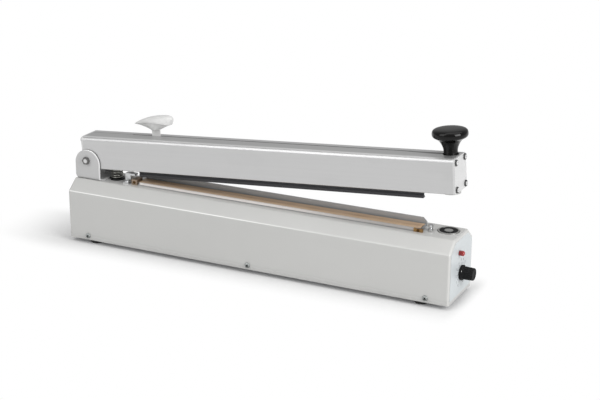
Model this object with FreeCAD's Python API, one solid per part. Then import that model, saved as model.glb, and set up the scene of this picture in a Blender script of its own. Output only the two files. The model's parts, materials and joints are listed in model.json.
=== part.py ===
import FreeCAD, Part
import math
import os

# An impulse heat sealer with a sliding cutter, standing on a table with its arm lifted by a spring.
# Lengths are millimetres and angles degrees. +X runs along the sealer to its control end,
# +Y to its rear and +Z up. Pieces are made with X = 0 at the housing's left end, and the arm's
# pieces are made with the arm closed, then turned up about the hinge pin.

# Base housing
base_length = 550.0
base_width = 81.0
side_height = 66.0
shoulder_run = 17.0
shoulder_rise = 14.0
housing_sheet = 1.5
bend_round = 4.0
end_round = 3.0

# Bottom tray, feet and side screws
foot_height = 6.0
foot_radius = 9.0
foot_from_left = 35.0
foot_from_right = 40.0
foot_inset_y = 14.0
foot_recess_radius = 4.6
foot_recess_depth = 3.0
foot_chamfer = 0.8
tray_sheet = 1.2
tray_recess = 1.0
tray_flange = 14.0
tray_gap = 0.5
side_screw_inset = 30.0
side_screw_height = 6.0

# Tolerances of the construction: a nearly equal level, and how far a cut runs past a face
near = 0.1
past = 1.0

# Screws
screw_hole_gap = 0.1
small_shank = 1.5
small_head = 3.0
small_head_height = 1.8
small_length = 8.0
large_shank = 2.0
large_head = 3.6
large_head_height = 2.2
cross_width = 0.9
cross_share = 0.6
screw_grip = 4.0

# Sealing bar, from the deck upwards and from the cutter's line forwards
cutter_line = 6.0
blade_way = 2.6
bar_start = 95.0
bar_end_inset = 49.0
channel_sheet = 1.5
rail_thickness = 2.0
rail_height = 11.3
rail_chamfer = 5.0
channel_inset = 1.3
bar_width = 17.6
bar_height = 2.8
band_width = 5.0
band_thickness = 0.15
sheet_thickness = 0.25
sheet_leg = 2.4
sheet_end_gap = 1.0
clamp_thickness = 2.65
clamp_height = 2.9
clamp_end_gap = 4.0

# Terminals
brass_length = 8.5
left_brass_height = 7.5
right_brass_length = 12.0
right_brass_inset = 8.5
tab_width = 6.0
brass_proud = 0.2
terminal_head = 1.9
terminal_head_height = 0.9
terminal_grip = 2.0
tension_bracket_gap = 6.5
tension_bracket_length = 15.0
tension_bracket_depth = 8.0
tension_bracket_height = 13.2
tension_upright = 8.0
tension_sheet = 2.4
tension_foot = 6.0
tension_back = 2.6
post_gap = 10.0
post_back = 7.6
post_radius = 2.0
post_head_radius = 3.0
post_head_height = 2.4
post_bush_radius = 3.6
post_bush_height = 1.6
post_height = 8.4

# Hinge
pin_from_left = 20.5
pin_above_arm = 12.0
pin_radius = 4.0
pin_fit = 0.05
pin_head_flats = 9.2
pin_head_height = 3.6
pin_nut_height = 5.0
pin_nut_flats = 12.0
pin_tail = 2.0
ear_left = 2.4
ear_width = 38.0
ear_height = 41.4
ear_corner = 6.0
ear_gap = 0.6
bracket_sheet = 2.2
bracket_round = 4.0
bracket_apron = 3.5
bracket_screw_inset = 12.0
bracket_screw_spread = 11.0
hinge_block_length = 24.0
hinge_block_wall = 8.0

# Lift spring under the arm
lift_spring_from_pin = 34.5
lift_spring_y = -2.0
lift_spring_radius = 7.3
lift_spring_wire = 2.0
lift_spring_turns = 4
spring_seat_radius = 10.0
spring_seat_height = 2.0
spring_seat_peg = 5.5
spring_end_gap = 0.3

# Arm
open_angle = 4.5
closing_gap = 0.3
arm_from_left = 13.0
arm_end_inset = 3.0
arm_width = 40.6
arm_height = 44.0
arm_wall = 2.4
arm_top_round = 5.0
arm_bottom_round = 1.5
port_inset = 5.2
port_half = 2.3
end_plate_sheet = 2.5
end_screw_head = 4.1
end_screw_head_height = 2.0
slot_width = 2.6

# Rubber strip under the arm
rubber_start_gap = 1.0
rubber_end_inset = 1.5
rubber_front = 13.0
rubber_height = 9.6
rubber_slot_gap = 0.6
rubber_bevel = 1.6
rubber_bevel_height = 2.4

# Handle, its spring and the magnet's keeper
handle_from_right = 14.0
handle_knob_cap = 22.2
handle_knob_height = 33.2
handle_foot_radius = 8.7
handle_foot_height = 7.0
handle_foot_sink = 1.0
handle_hole_gap = 1.2
handle_flare_radius = 14.5
handle_flare_height = 18.0
handle_rim_height = 26.0
handle_crown_radius = 18.6
handle_crown_height = 32.0
handle_neck_share = 0.06
handle_lip_share = 0.18
handle_rim_share = 0.2
stud_radius = 4.0
stud_fit = 0.05
stud_in_knob = 15.0
stud_guide_radius = 6.0
stud_guide_flange = 8.4
stud_guide_flange_height = 3.0
stud_guide_height = 14.0
handle_spring_radius = 6.3
handle_spring_wire = 1.4
handle_spring_turns = 7
keeper_radius = 11.0
keeper_height = 5.0
keeper_gap = 0.3
keeper_spigot = 2.5

# Electromagnet in the deck
magnet_offset = 2.6
magnet_radius = 13.5
magnet_height = 16.0
magnet_proud = 0.8
magnet_hole_gap = 0.6
magnet_rim = 1.8
magnet_core_radius = 5.4
magnet_floor = 3.0
magnet_resin_recess = 0.4
magnet_strap_width = 18.0
magnet_strap_gap = 0.6
magnet_strap_sheet = 1.8
magnet_bolt_radius = 2.5
magnet_bolt_head = 4.0
magnet_bolt_head_height = 2.6
magnet_bolt_length = 9.0

# Cutter
cutter_from_bar = 22.0
cutter_reach_left = 30.0
cutter_end_gap = 24.0
cutter_press_travel = 7.4
slider_length = 36.0
slider_width = 9.0
slider_height = 14.0
slider_gap = 0.3
track_wall = 1.5
track_lip = 2.6
track_end_gap = 6.0
plunger_thickness = 2.0
plunger_width = 12.0
plunger_slide_gap = 0.3
plunger_bar_length = 32.0
plunger_bar_height = 3.0
plunger_top_gap = 0.5
cutter_spring_offset = 11.5
cutter_spring_radius = 2.2
cutter_spring_wire = 0.7
cutter_spring_turns = 8
cutter_spring_pocket_gap = 0.4
cutter_spring_floor = 3.0
blade_thickness = 0.6
blade_below_arm = 3.5
blade_lap = 6.0
blade_point = 5.0
knob_stem_height = 8.4
knob_length = 61.5
knob_blunt_radius = 10.5
knob_tip_radius = 2.5
knob_tip_side = 33.0
knob_cone_height = 9.8
knob_dome_height = 11.1
knob_neck_radius = 4.0

# Controls on the right end
timer_height = 30.9
timer_knob_gap = 0.6
timer_skirt_radius = 9.7
timer_skirt_height = 3.0
timer_body_radius = 8.3
timer_tip_radius = 7.8
timer_knob_length = 17.0
timer_back_recess = 3.2
timer_shaft_radius = 3.0
timer_shaft_in_knob = 11.0
timer_fit = 0.05
timer_pointer_width = 1.2
timer_pointer_depth = 0.4
timer_setting = 30.0
pot_radius = 8.5
pot_depth = 10.0
pot_neck_radius = 4.6
pot_neck_length = 3.6
pot_nut_radius = 6.6
pot_nut_height = 2.0
lamp_y = -8.5
lamp_height = 59.2
lamp_radius = 3.3
lamp_proud = 7.4
lamp_body_radius = 4.4
lamp_body_length = 8.0
lamp_dome_share = 0.8
hole_gap = 0.15
free_gap = 0.4
label_inset = 4.2
label_thickness = 0.3

# Cord gland on the left end
gland_y = 12.0
gland_height = 26.0
gland_radius = 8.0
gland_proud = 8.0
gland_neck_radius = 6.0
gland_inside = 10.0
gland_bore_radius = 3.6
gland_snap_radius = 6.8

# Microswitch under the deck and the peg on the arm that works it
switch_from_pin = 47.5
switch_y = 15.0
switch_length = 20.0
switch_width = 6.4
switch_height = 10.0
plunger_radius = 2.3
plunger_fit = 0.05
plunger_in_switch = 4.0
plunger_travel = 2.0
plunger_floor_gap = 0.5
peg_radius = 2.5
peg_length = 8.0

# Transformer on the tray
core_from_left = 190.0
core_length = 66.0
core_depth = 34.0
core_height = 55.0
core_leg = 22.0
core_window_width = 11.0
core_window_height = 33.0
coil_overhang = 10.0
coil_gap = 0.3
strap_sheet = 1.2
strap_width = 20.0
strap_foot = 12.0

# Circuit board on the tray
board_end_inset = 51.0
board_length = 80.0
board_depth = 56.0
board_thickness = 1.6
board_lift = 10.0
board_hole_inset = 4.5
standoff_radius = 3.0
standoff_bore_depth = 8.0
standoff_peg_radius = 1.5
standoff_peg_height = 2.0
relay_length = 22.0
relay_depth = 16.0
relay_height = 16.0
capacitor_radius = 6.0
capacitor_height = 20.0
regulator_length = 10.0
regulator_depth = 5.0
regulator_height = 15.0
board_part_inset = 12.0

# Levels and lines that follow from the sizes above
edge_z = foot_height
bend_z = edge_z + side_height
deck_z = bend_z + shoulder_rise
deck_under_z = deck_z - housing_sheet
half_width = base_width / 2
tray_under_z = edge_z + tray_recess
tray_top_z = tray_under_z + tray_sheet
channel_top_z = deck_z + channel_sheet
bar_top_z = channel_top_z + bar_height
sheet_under_z = bar_top_z + band_thickness
sheet_top_z = sheet_under_z + sheet_thickness
bar_rear = cutter_line - blade_way / 2
bar_front = bar_rear - bar_width
clamp_rear = bar_front - sheet_thickness
clamp_front = clamp_rear - clamp_thickness
channel_front = clamp_front + channel_inset
brass_front = clamp_front - brass_proud
tension_front = bar_front + tension_back
rail_front = cutter_line + blade_way / 2
rail_rear = rail_front + rail_thickness
bar_end = base_length - bar_end_inset
arm_under_z = sheet_top_z + closing_gap + rubber_height
arm_top_z = arm_under_z + arm_height
arm_inner_top_z = arm_top_z - arm_wall
arm_end = base_length - arm_end_inset
arm_half = arm_width / 2
profile_start = arm_from_left + end_plate_sheet
profile_end = arm_end - end_plate_sheet
pin_z = arm_under_z + pin_above_arm
ear_inner = arm_half + ear_gap
ear_outer = ear_inner + bracket_sheet
handle_x = arm_end - handle_from_right
magnet_x = handle_x - magnet_offset
keeper_top_z = arm_under_z - keeper_gap
keeper_under_z = keeper_top_z - keeper_height
magnet_top_z = deck_z + magnet_proud
magnet_under_z = magnet_top_z - magnet_height
handle_travel = keeper_under_z - magnet_top_z - closing_gap
handle_foot_z = arm_top_z - handle_foot_sink
rubber_start = bar_start + rubber_start_gap
rubber_end = bar_end - rubber_end_inset
cutter_x = bar_start + cutter_from_bar
cutter_reach_right = bar_end - cutter_end_gap - cutter_x
slot_start = cutter_x - cutter_reach_left - plunger_width / 2 - slider_gap
slot_end = cutter_x + cutter_reach_right + plunger_width / 2 + slider_gap
plunger_bar_top_z = arm_inner_top_z - plunger_top_gap
plunger_bar_z = plunger_bar_top_z - plunger_bar_height
slider_top_z = plunger_bar_z - cutter_press_travel - slider_gap
slider_z = slider_top_z - slider_height
timer_z = edge_z + timer_height
lamp_z = edge_z + lamp_height
timer_back_x = base_length + label_thickness + timer_knob_gap
timer_face_x = timer_back_x + timer_knob_length
gland_z = edge_z + gland_height
switch_x = pin_from_left + switch_from_pin
peg_under_z = arm_under_z - peg_length
plunger_top_z = peg_under_z - closing_gap
lift_spring_x = pin_from_left + lift_spring_from_pin
board_start = base_length - board_end_inset - board_length
board_z = tray_top_z + board_lift
origin_x = (timer_face_x - gland_proud) / 2


def vec(x, y, z):
    """A point or direction."""
    return FreeCAD.Vector(x, y, z)


def block(x0, x1, y0, y1, z0, z1):
    """A box between two corners."""
    return Part.makeBox(x1 - x0, y1 - y0, z1 - z0, vec(x0, y0, z0))


def rod(radius, start, end):
    """A round bar from one point to another."""
    run = end - start
    return Part.makeCylinder(radius, run.Length, start, run)


def ring(outer, inner, start, end):
    """A round bar with a hole along it."""
    return rod(outer, start, end).cut(rod(inner, start, end))


def prism(points, run):
    """A flat outline carried along a straight run."""
    outline = Part.makePolygon(points + [points[0]])
    return Part.Face(outline).extrude(run)


def turned(points, axis):
    """An outline of (radius, height) points turned about the upright line through axis."""
    outline = [vec(axis.x + radius, axis.y, height) for radius, height in points]
    face = Part.Face(Part.makePolygon(outline + [outline[0]]))
    return face.revolve(axis, vec(0, 0, 1), 360)


def hexagon(flats, start, end):
    """A six-sided bar along Y, measured across its flats."""
    corner = flats / math.sqrt(3)
    points = []
    for side in range(6):
        angle = math.radians(60 * side)
        points.append(vec(start.x + corner * math.cos(angle), start.y, start.z + corner * math.sin(angle)))
    return prism(points, end - start)


def edges_along(shape, direction):
    """The straight edges of a shape that run in a direction."""
    found = []
    for edge in shape.Edges:
        run = edge.Vertexes[-1].Point - edge.Vertexes[0].Point
        if run.Length > 0 and abs(run.normalize().dot(direction)) > 0.999:
            found.append(edge)
    return found


def low_edges(shape, level):
    """The long edges of a shape that lie at a level along X."""
    return [edge for edge in edges_along(shape, vec(1, 0, 0)) if abs(edge.BoundBox.ZMax - level) < near]


def cross_screw(head, head_height, shank, length):
    """A pan-head screw with its head up on the XY plane, a rounded rim and a cross in its head."""
    top = Part.makeCylinder(head, head_height)
    rim = [edge for edge in top.Edges if edge.BoundBox.ZMin > head_height / 2]
    top = top.makeFillet(head_height * cross_share, rim[:1])
    reach = head * cross_share
    sunk = head_height * cross_share
    bar = block(-reach, reach, -cross_width / 2, cross_width / 2, sunk, head_height)
    top = top.cut(bar).cut(bar.rotated(vec(0, 0, 0), vec(0, 0, 1), 90))
    return top.fuse(Part.makeCylinder(shank, length, vec(0, 0, -length)))


def seated(shape, place, direction):
    """A copy of a shape made along +Z, stood at a place and pointing in a direction."""
    copy = shape.copy()
    copy.Placement = FreeCAD.Placement(place, FreeCAD.Rotation(vec(0, 0, 1), direction))
    return copy


def small_screw():
    """A small cross-head screw."""
    return cross_screw(small_head, small_head_height, small_shank, small_length)


def large_screw(length):
    """A larger cross-head screw."""
    return cross_screw(large_head, large_head_height, large_shank, length)


def arc_middle(start, end, corner):
    """The middle of the arc from start to end whose end tangents meet at corner."""
    chord = end - start
    half = chord.Length / 2
    tangent = (corner - start).normalize()
    angle = math.acos(max(-1.0, min(1.0, tangent.dot(chord) / chord.Length)))
    middle = (start + end) * 0.5
    return middle + (corner - middle).normalize() * (half * math.tan(angle / 2))


def biarc(start, start_run, end, end_run):
    """Two arcs that leave start along start_run and reach end along end_run."""
    across = end - start
    both = start_run + end_run
    square = both.dot(both) - 4
    linear = -2 * across.dot(both)
    constant = across.dot(across)
    reach = (-linear - math.sqrt(linear * linear - 4 * square * constant)) / (2 * square)
    first = start + start_run * reach
    last = end - end_run * reach
    joint = (first + last) * 0.5
    return [
        Part.Arc(start, arc_middle(start, joint, first), joint).toShape(),
        Part.Arc(joint, arc_middle(joint, end, last), end).toShape(),
    ]


def coil_spring(name, radius, wire, turns, foot, height):
    """An open coil spring of round wire standing on foot, as one tube along quarter-turn biarcs."""
    quarters = 4 * turns
    climb = (height - wire) / quarters
    run_flat = radius * math.pi / 2
    slope = math.hypot(run_flat, climb)
    places = []
    runs = []
    for step in range(quarters + 1):
        angle = math.radians(90 * step)
        level = foot.z + wire / 2 + climb * step
        places.append(vec(foot.x + radius * math.cos(angle), foot.y + radius * math.sin(angle), level))
        flat = run_flat / slope
        runs.append(vec(-math.sin(angle) * flat, math.cos(angle) * flat, climb / slope))
    edges = []
    for step in range(quarters):
        edges += biarc(places[step], runs[step], places[step + 1], runs[step + 1])
    path = Part.Wire(edges)
    section = Part.Wire(Part.makeCircle(wire / 2, places[0], runs[0]))
    sweep = Part.BRepOffsetAPI.MakePipeShell(path)
    sweep.add(section)
    sweep.build()
    sweep.makeSolid()
    points = []
    for edge in edges:
        points += edge.discretize(4)[:-1]
    turn = len(points) // turns
    gap = min((points[a] - points[b]).Length for a in range(len(points))
              for b in range(a + turn // 2, len(points))) - wire
    print(name, "least gap between turns", round(gap, 3), "mm")
    return sweep.shape()


def housing_form(inset, x0, x1, foot_z, bend, end):
    """The housing's rounded outer form, or its cavity when drawn in by the sheet's thickness."""
    slant = math.hypot(shoulder_run, shoulder_rise)
    side = half_width - inset
    low = bend_z - inset * (slant - shoulder_rise) / shoulder_run
    high = deck_z - inset
    top = half_width - shoulder_run - inset * (slant - shoulder_run) / shoulder_rise
    points = [
        vec(x0, -side, foot_z),
        vec(x0, -side, low),
        vec(x0, -top, high),
        vec(x0, top, high),
        vec(x0, side, low),
        vec(x0, side, foot_z),
    ]
    form = prism(points, vec(x1 - x0, 0, 0))
    if bend > 0:
        bends = [edge for edge in edges_along(form, vec(1, 0, 0)) if edge.BoundBox.ZMin > foot_z + near]
        form = form.makeFillet(bend, bends)
    if end > 0:
        rims = []
        for edge in form.Edges:
            box = edge.BoundBox
            at_end = box.XLength < near and min(abs(box.XMin - x0), abs(box.XMin - x1)) < near
            if at_end and box.ZMax > foot_z + near:
                rims.append(edge)
        form = form.makeFillet(end, rims)
    return form


def foot_places():
    """The centres of the four feet."""
    places = []
    for x in (foot_from_left, base_length - foot_from_right):
        for side in (-1, 1):
            places.append(vec(x, side * (half_width - foot_inset_y), 0))
    return places


def side_screw_places():
    """The heads' seats of the side screws, front and rear, each with its outward direction."""
    places = []
    for x in (side_screw_inset, base_length / 2, base_length - side_screw_inset):
        for side in (-1, 1):
            places.append((vec(x, side * half_width, edge_z + side_screw_height), vec(0, side, 0)))
    return places


def bracket_screw_places():
    """The hinge bracket's four screws on the deck."""
    places = []
    for x in (ear_left + bracket_screw_inset, ear_left + ear_width - bracket_screw_inset):
        for side in (-1, 1):
            places.append(vec(x, side * bracket_screw_spread, deck_z + bracket_sheet))
    return places


def tension_screw_place():
    """The seat of the tension bracket's screw on its foot."""
    x = bar_start - tension_bracket_gap - tension_bracket_length + tension_upright / 2
    return vec(x, tension_front - tension_foot / 2, deck_z + tension_sheet)


def post_place():
    """The terminal post's foot on the deck."""
    return vec(bar_end + post_gap, bar_front + post_back, deck_z)


def base_housing():
    """The folded and welded sheet-steel housing, open below."""
    outer = housing_form(0, 0, base_length, edge_z, bend_round, end_round)
    cavity = housing_form(housing_sheet, housing_sheet, base_length - housing_sheet, edge_z - past,
                          bend_round - housing_sheet, end_round - housing_sheet)
    cuts = [cavity]
    for place, out in side_screw_places():
        cuts.append(rod(large_shank + screw_hole_gap, place + out * past, place - out * screw_grip))
    for place in bracket_screw_places() + [tension_screw_place()]:
        cuts.append(rod(small_shank + screw_hole_gap, place, place - vec(0, 0, 3 * screw_grip)))
    post = post_place()
    cuts.append(rod(post_radius + screw_hole_gap, post, post - vec(0, 0, screw_grip)))
    magnet = vec(magnet_x, cutter_line, deck_z)
    magnet_low = magnet - vec(0, 0, screw_grip)
    cuts.append(rod(magnet_radius + magnet_hole_gap, magnet + vec(0, 0, past), magnet_low))
    switch = vec(switch_x, switch_y, deck_z)
    cuts.append(rod(plunger_radius + free_gap, switch + vec(0, 0, past), switch - vec(0, 0, screw_grip)))
    for radius, y, height in ((pot_neck_radius, 0, timer_z), (lamp_radius, lamp_y, lamp_z)):
        face = vec(base_length, y, height)
        cuts.append(rod(radius + hole_gap, face + vec(past, 0, 0), face - vec(screw_grip, 0, 0)))
    gland = vec(0, gland_y, gland_z)
    cuts.append(rod(gland_neck_radius + hole_gap, gland - vec(past, 0, 0), gland + vec(screw_grip, 0, 0)))
    return outer.cut(cuts)


def bottom_tray():
    """The tray that closes the housing from below, with a flange along each side."""
    side = half_width - housing_sheet - tray_gap
    x0 = housing_sheet + tray_gap
    x1 = base_length - x0
    tray = block(x0, x1, -side, side, tray_under_z, tray_top_z)
    for sign in (-1, 1):
        wall = sorted((sign * side, sign * (side - tray_sheet)))
        tray = tray.fuse(block(x0, x1, wall[0], wall[1], tray_under_z, tray_under_z + tray_flange))
    cuts = []
    for place, out in side_screw_places():
        cuts.append(rod(large_shank + screw_hole_gap, place, place - out * (2 * screw_grip)))
    for place in foot_places():
        cuts.append(rod(small_shank + screw_hole_gap, place, place + vec(0, 0, tray_top_z + past)))
    for place in standoff_places() + strap_screw_places():
        low = vec(place.x, place.y, tray_under_z - past)
        cuts.append(rod(small_shank + screw_hole_gap, low, low + vec(0, 0, tray_sheet + 2 * past)))
    return tray.cut(cuts)


def rubber_feet():
    """Four round feet with a recess for their screws."""
    feet = []
    for place in foot_places():
        outline = [
            (small_shank + screw_hole_gap, foot_recess_depth),
            (foot_recess_radius, foot_recess_depth),
            (foot_recess_radius, 0),
            (foot_radius - foot_chamfer, 0),
            (foot_radius, foot_chamfer),
            (foot_radius, tray_under_z),
            (small_shank + screw_hole_gap, tray_under_z),
        ]
        feet.append(turned(outline, place))
    return Part.makeCompound(feet)


def small_screws():
    """The base's small screws: hinge and tension brackets, feet, transformer strap and board posts."""
    screw = small_screw()
    from_above = bracket_screw_places() + [tension_screw_place()]
    screws = [seated(screw, place, vec(0, 0, 1)) for place in from_above]
    from_below = [vec(place.x, place.y, foot_recess_depth) for place in foot_places()]
    from_below += [vec(place.x, place.y, tray_under_z) for place in strap_screw_places() + standoff_places()]
    screws += [seated(screw, place, vec(0, 0, -1)) for place in from_below]
    return Part.makeCompound(screws)


def side_screws():
    """The screws through the housing's sides into the tray's flanges."""
    screw = large_screw(screw_grip)
    return Part.makeCompound([seated(screw, place, out) for place, out in side_screw_places()])


def bar_channel():
    """The plate that carries the sealing bar, with a tall rear wall, the cutter rail."""
    floor = block(bar_start, bar_end, channel_front, rail_rear, deck_z, channel_top_z)
    rail_top_z = deck_z + rail_height
    rail_points = [
        vec(bar_start, rail_front, deck_z),
        vec(bar_end, rail_front, deck_z),
        vec(bar_end, rail_front, rail_top_z - rail_chamfer),
        vec(bar_end - rail_chamfer, rail_front, rail_top_z),
        vec(bar_start + rail_chamfer, rail_front, rail_top_z),
        vec(bar_start, rail_front, rail_top_z - rail_chamfer),
    ]
    rail = prism(rail_points, vec(0, rail_thickness, 0))
    notch_start = bar_end - right_brass_inset - hole_gap
    notch = block(notch_start, bar_end + past, channel_front - past, clamp_rear, deck_z - past, channel_top_z + past)
    return floor.fuse(rail).removeSplitter().cut(notch)


def sealing_bar():
    """The aluminium bar under the heating band."""
    return block(bar_start, bar_end, bar_front, bar_rear, channel_top_z, bar_top_z)


def band_middle():
    """The line along the middle of the bar, under the heating band."""
    return (bar_front + bar_rear) / 2


def heating_band():
    """The flat resistance band, with a tab at its right end that reaches forward to its terminal."""
    middle = band_middle()
    rear = middle + band_width / 2
    strip = block(bar_start, bar_end, middle - band_width / 2, rear, bar_top_z, sheet_under_z)
    tab = block(bar_end - tab_width, bar_end, clamp_front, rear, bar_top_z, sheet_under_z)
    return strip.fuse(tab).removeSplitter()


def nonstick_sheet():
    """The tan glass-cloth sheet over the band, tucked down in front of the bar."""
    x0 = bar_start + sheet_end_gap
    x1 = bar_end - sheet_end_gap
    top = block(x0, x1, clamp_rear, bar_rear, sheet_under_z, sheet_top_z)
    leg_start = bar_start + clamp_end_gap
    leg_end = bar_end - right_brass_inset - hole_gap
    leg = block(leg_start, leg_end, clamp_rear, bar_front, sheet_top_z - sheet_leg, sheet_top_z)
    return top.fuse(leg).removeSplitter()


def clamp_strip():
    """The bright strip that holds the sheet's front edge."""
    x0 = bar_start + clamp_end_gap
    x1 = bar_end - right_brass_inset - hole_gap
    return block(x0, x1, clamp_front, clamp_rear, channel_top_z, channel_top_z + clamp_height)


def terminal_left():
    """The brass block that the band's left end butts against."""
    brass = block(bar_start - brass_length, bar_start, brass_front, band_middle() + band_width / 2,
                  deck_z, deck_z + left_brass_height)
    seat = terminal_screw_places()[0]
    return brass.cut(rod(small_shank + screw_hole_gap, seat, seat + vec(0, terminal_grip, 0)))


def terminal_right():
    """The brass block under the band's front tab."""
    x0 = bar_end - right_brass_inset
    brass = block(x0, x0 + right_brass_length, brass_front, clamp_rear - hole_gap, deck_z, bar_top_z)
    seat = terminal_screw_places()[1]
    return brass.cut(rod(small_shank + screw_hole_gap, seat, seat + vec(0, terminal_grip, 0)))


def terminal_screw_places():
    """The seats of the two terminal screws on the blocks' front faces."""
    left = vec(bar_start - brass_length / 2, brass_front, deck_z + left_brass_height / 2)
    right_x = bar_end - right_brass_inset + right_brass_length / 2
    right = vec(right_x, brass_front, (deck_z + bar_top_z) / 2)
    return [left, right]


def terminal_screws():
    """A clamp screw in the front of each brass block."""
    screw = cross_screw(terminal_head, terminal_head_height, small_shank, terminal_grip)
    return Part.makeCompound([seated(screw, place, vec(0, -1, 0)) for place in terminal_screw_places()])


def tension_bracket():
    """The small bent bracket beside the left terminal, with a foot for its screw."""
    x0 = bar_start - tension_bracket_gap - tension_bracket_length
    x1 = x0 + tension_bracket_length
    top_z = deck_z + tension_bracket_height
    rear = tension_front + tension_bracket_depth
    upright = block(x0, x0 + tension_upright, tension_front, tension_front + tension_sheet, deck_z, top_z)
    flange = block(x0, x1, tension_front, rear, top_z - tension_sheet, top_z)
    foot = block(x0, x0 + tension_upright, tension_front - tension_foot, tension_front + tension_sheet,
                 deck_z, deck_z + tension_sheet)
    seat = tension_screw_place()
    hole = rod(small_shank + screw_hole_gap, seat + vec(0, 0, past), seat - vec(0, 0, screw_grip))
    return upright.fuse([flange, foot]).removeSplitter().cut(hole)


def post_bush():
    """The insulating bush under the terminal post."""
    foot = post_place()
    return ring(post_bush_radius, post_radius + screw_hole_gap, foot, foot + vec(0, 0, post_bush_height))


def terminal_post():
    """The screw post beside the bar's right end, with a nut on its bush and a round head."""
    foot = post_place()
    top = foot + vec(0, 0, post_height)
    shank = rod(post_radius, foot - vec(0, 0, screw_grip), top)
    head = rod(post_head_radius, top - vec(0, 0, post_head_height), top)
    nut_foot = foot + vec(0, 0, post_bush_height)
    nut = rod(post_head_radius, nut_foot, nut_foot + vec(0, 0, post_head_height))
    return shank.fuse([head, nut]).removeSplitter()


def hinge_bracket():
    """The folded bracket whose two arched ears carry the hinge pin."""
    x0 = ear_left
    x1 = ear_left + ear_width
    top_z = deck_z + ear_height
    outer = block(x0, x1 + bracket_apron, -ear_outer, ear_outer, deck_z, top_z)
    outer = outer.makeFillet(bracket_round, low_edges(outer, deck_z))
    floor_z = deck_z + bracket_sheet
    inner = block(x0 - past, x1 + bracket_apron + past, -ear_inner, ear_inner, floor_z, top_z + past)
    inner = inner.makeFillet(bracket_round - bracket_sheet, low_edges(inner, floor_z))
    arch = ear_width / 2
    arch_z = top_z - arch
    points = [
        vec(x0 + ear_corner, -ear_outer, deck_z),
        vec(x1, -ear_outer, deck_z),
        vec(x1, -ear_outer, arch_z),
        vec(x0, -ear_outer, arch_z),
        vec(x0, -ear_outer, deck_z + ear_corner),
    ]
    ears = prism(points, vec(0, 2 * ear_outer, 0))
    arch_line = vec((x0 + x1) / 2, -ear_outer, arch_z)
    corner_line = vec(x0 + ear_corner, -ear_outer, deck_z + ear_corner)
    across = vec(0, 2 * ear_outer, 0)
    rounds = [rod(arch, arch_line, arch_line + across), rod(ear_corner, corner_line, corner_line + across)]
    ears = ears.fuse(rounds)
    apron = block(x0 + ear_corner, x1 + bracket_apron, -ear_outer, ear_outer, deck_z, deck_z + bracket_sheet)
    bracket = outer.cut(inner).common(ears.fuse(apron))
    cuts = [rod(pin_radius + pin_fit, pin_point(-ear_outer - past), pin_point(ear_outer + past))]
    for place in bracket_screw_places():
        cuts.append(rod(small_shank + screw_hole_gap, place + vec(0, 0, past), place - vec(0, 0, screw_grip)))
    return bracket.cut(cuts).removeSplitter()


def pin_point(y):
    """A point on the hinge pin's axis."""
    return vec(pin_from_left, y, pin_z)


def hinge_pin():
    """The hinge bolt, with a hexagon head against the front ear."""
    end = ear_outer + pin_nut_height + pin_tail
    shank = rod(pin_radius, pin_point(-ear_outer), pin_point(end))
    return shank.fuse(hexagon(pin_head_flats, pin_point(-ear_outer - pin_head_height), pin_point(-ear_outer)))


def hinge_nut():
    """The nut on the hinge bolt, behind the rear ear."""
    end = ear_outer + pin_nut_height
    nut = hexagon(pin_nut_flats, pin_point(ear_outer), pin_point(end))
    return nut.cut(rod(pin_radius + pin_fit, pin_point(ear_outer), pin_point(end)))


def lift_spring_top_z():
    """Where the lift spring meets the underside of the lifted arm, at its lower side."""
    lean = math.tan(math.radians(open_angle))
    reach = lift_spring_from_pin - lift_spring_radius - lift_spring_wire / 2
    under_pin = pin_z - pin_above_arm / math.cos(math.radians(open_angle))
    return under_pin + reach * lean - spring_end_gap


def lift_spring():
    """The coil spring that lifts the arm."""
    foot = vec(lift_spring_x, lift_spring_y, deck_z + spring_seat_height)
    return coil_spring("lift_spring", lift_spring_radius, lift_spring_wire, lift_spring_turns, foot,
                       lift_spring_top_z() - foot.z)


def spring_seat():
    """The black seat with a peg that keeps the lift spring in place."""
    foot = vec(lift_spring_x, lift_spring_y, deck_z)
    disc = rod(spring_seat_radius, foot, foot + vec(0, 0, spring_seat_height))
    return disc.fuse(rod(spring_seat_peg, foot, foot + vec(0, 0, 2 * spring_seat_height)))


def magnet_pot():
    """The electromagnet's steel pot with its centre pole."""
    axis = vec(magnet_x, cutter_line, 0)
    bore = magnet_radius - magnet_rim
    bolt = magnet_bolt_radius + screw_hole_gap
    outline = [
        (bolt, magnet_under_z),
        (magnet_radius, magnet_under_z),
        (magnet_radius, magnet_top_z),
        (bore, magnet_top_z),
        (bore, magnet_under_z + magnet_floor),
        (magnet_core_radius, magnet_under_z + magnet_floor),
        (magnet_core_radius, magnet_top_z),
        (0, magnet_top_z),
        (0, magnet_under_z + magnet_bolt_length),
        (bolt, magnet_under_z + magnet_bolt_length),
    ]
    return turned(outline, axis)


def magnet_resin():
    """The winding set in black resin, which fills the pot's groove."""
    axis = vec(magnet_x, cutter_line, 0)
    low = axis + vec(0, 0, magnet_under_z + magnet_floor)
    high = axis + vec(0, 0, magnet_top_z - magnet_resin_recess)
    return ring(magnet_radius - magnet_rim, magnet_core_radius, low, high)


def magnet_bracket():
    """The strap welded under the deck that carries the magnet."""
    x0 = magnet_x - magnet_strap_width / 2
    x1 = magnet_x + magnet_strap_width / 2
    reach = magnet_radius + magnet_strap_gap
    outer = block(x0, x1, cutter_line - reach - magnet_strap_sheet, cutter_line + reach + magnet_strap_sheet,
                  magnet_under_z - magnet_strap_sheet, deck_under_z)
    inner = block(x0 - past, x1 + past, cutter_line - reach, cutter_line + reach,
                  magnet_under_z, deck_under_z + past)
    foot = vec(magnet_x, cutter_line, magnet_under_z)
    hole = rod(magnet_bolt_radius + screw_hole_gap, foot - vec(0, 0, screw_grip), foot)
    return outer.cut([inner, hole])


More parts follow.
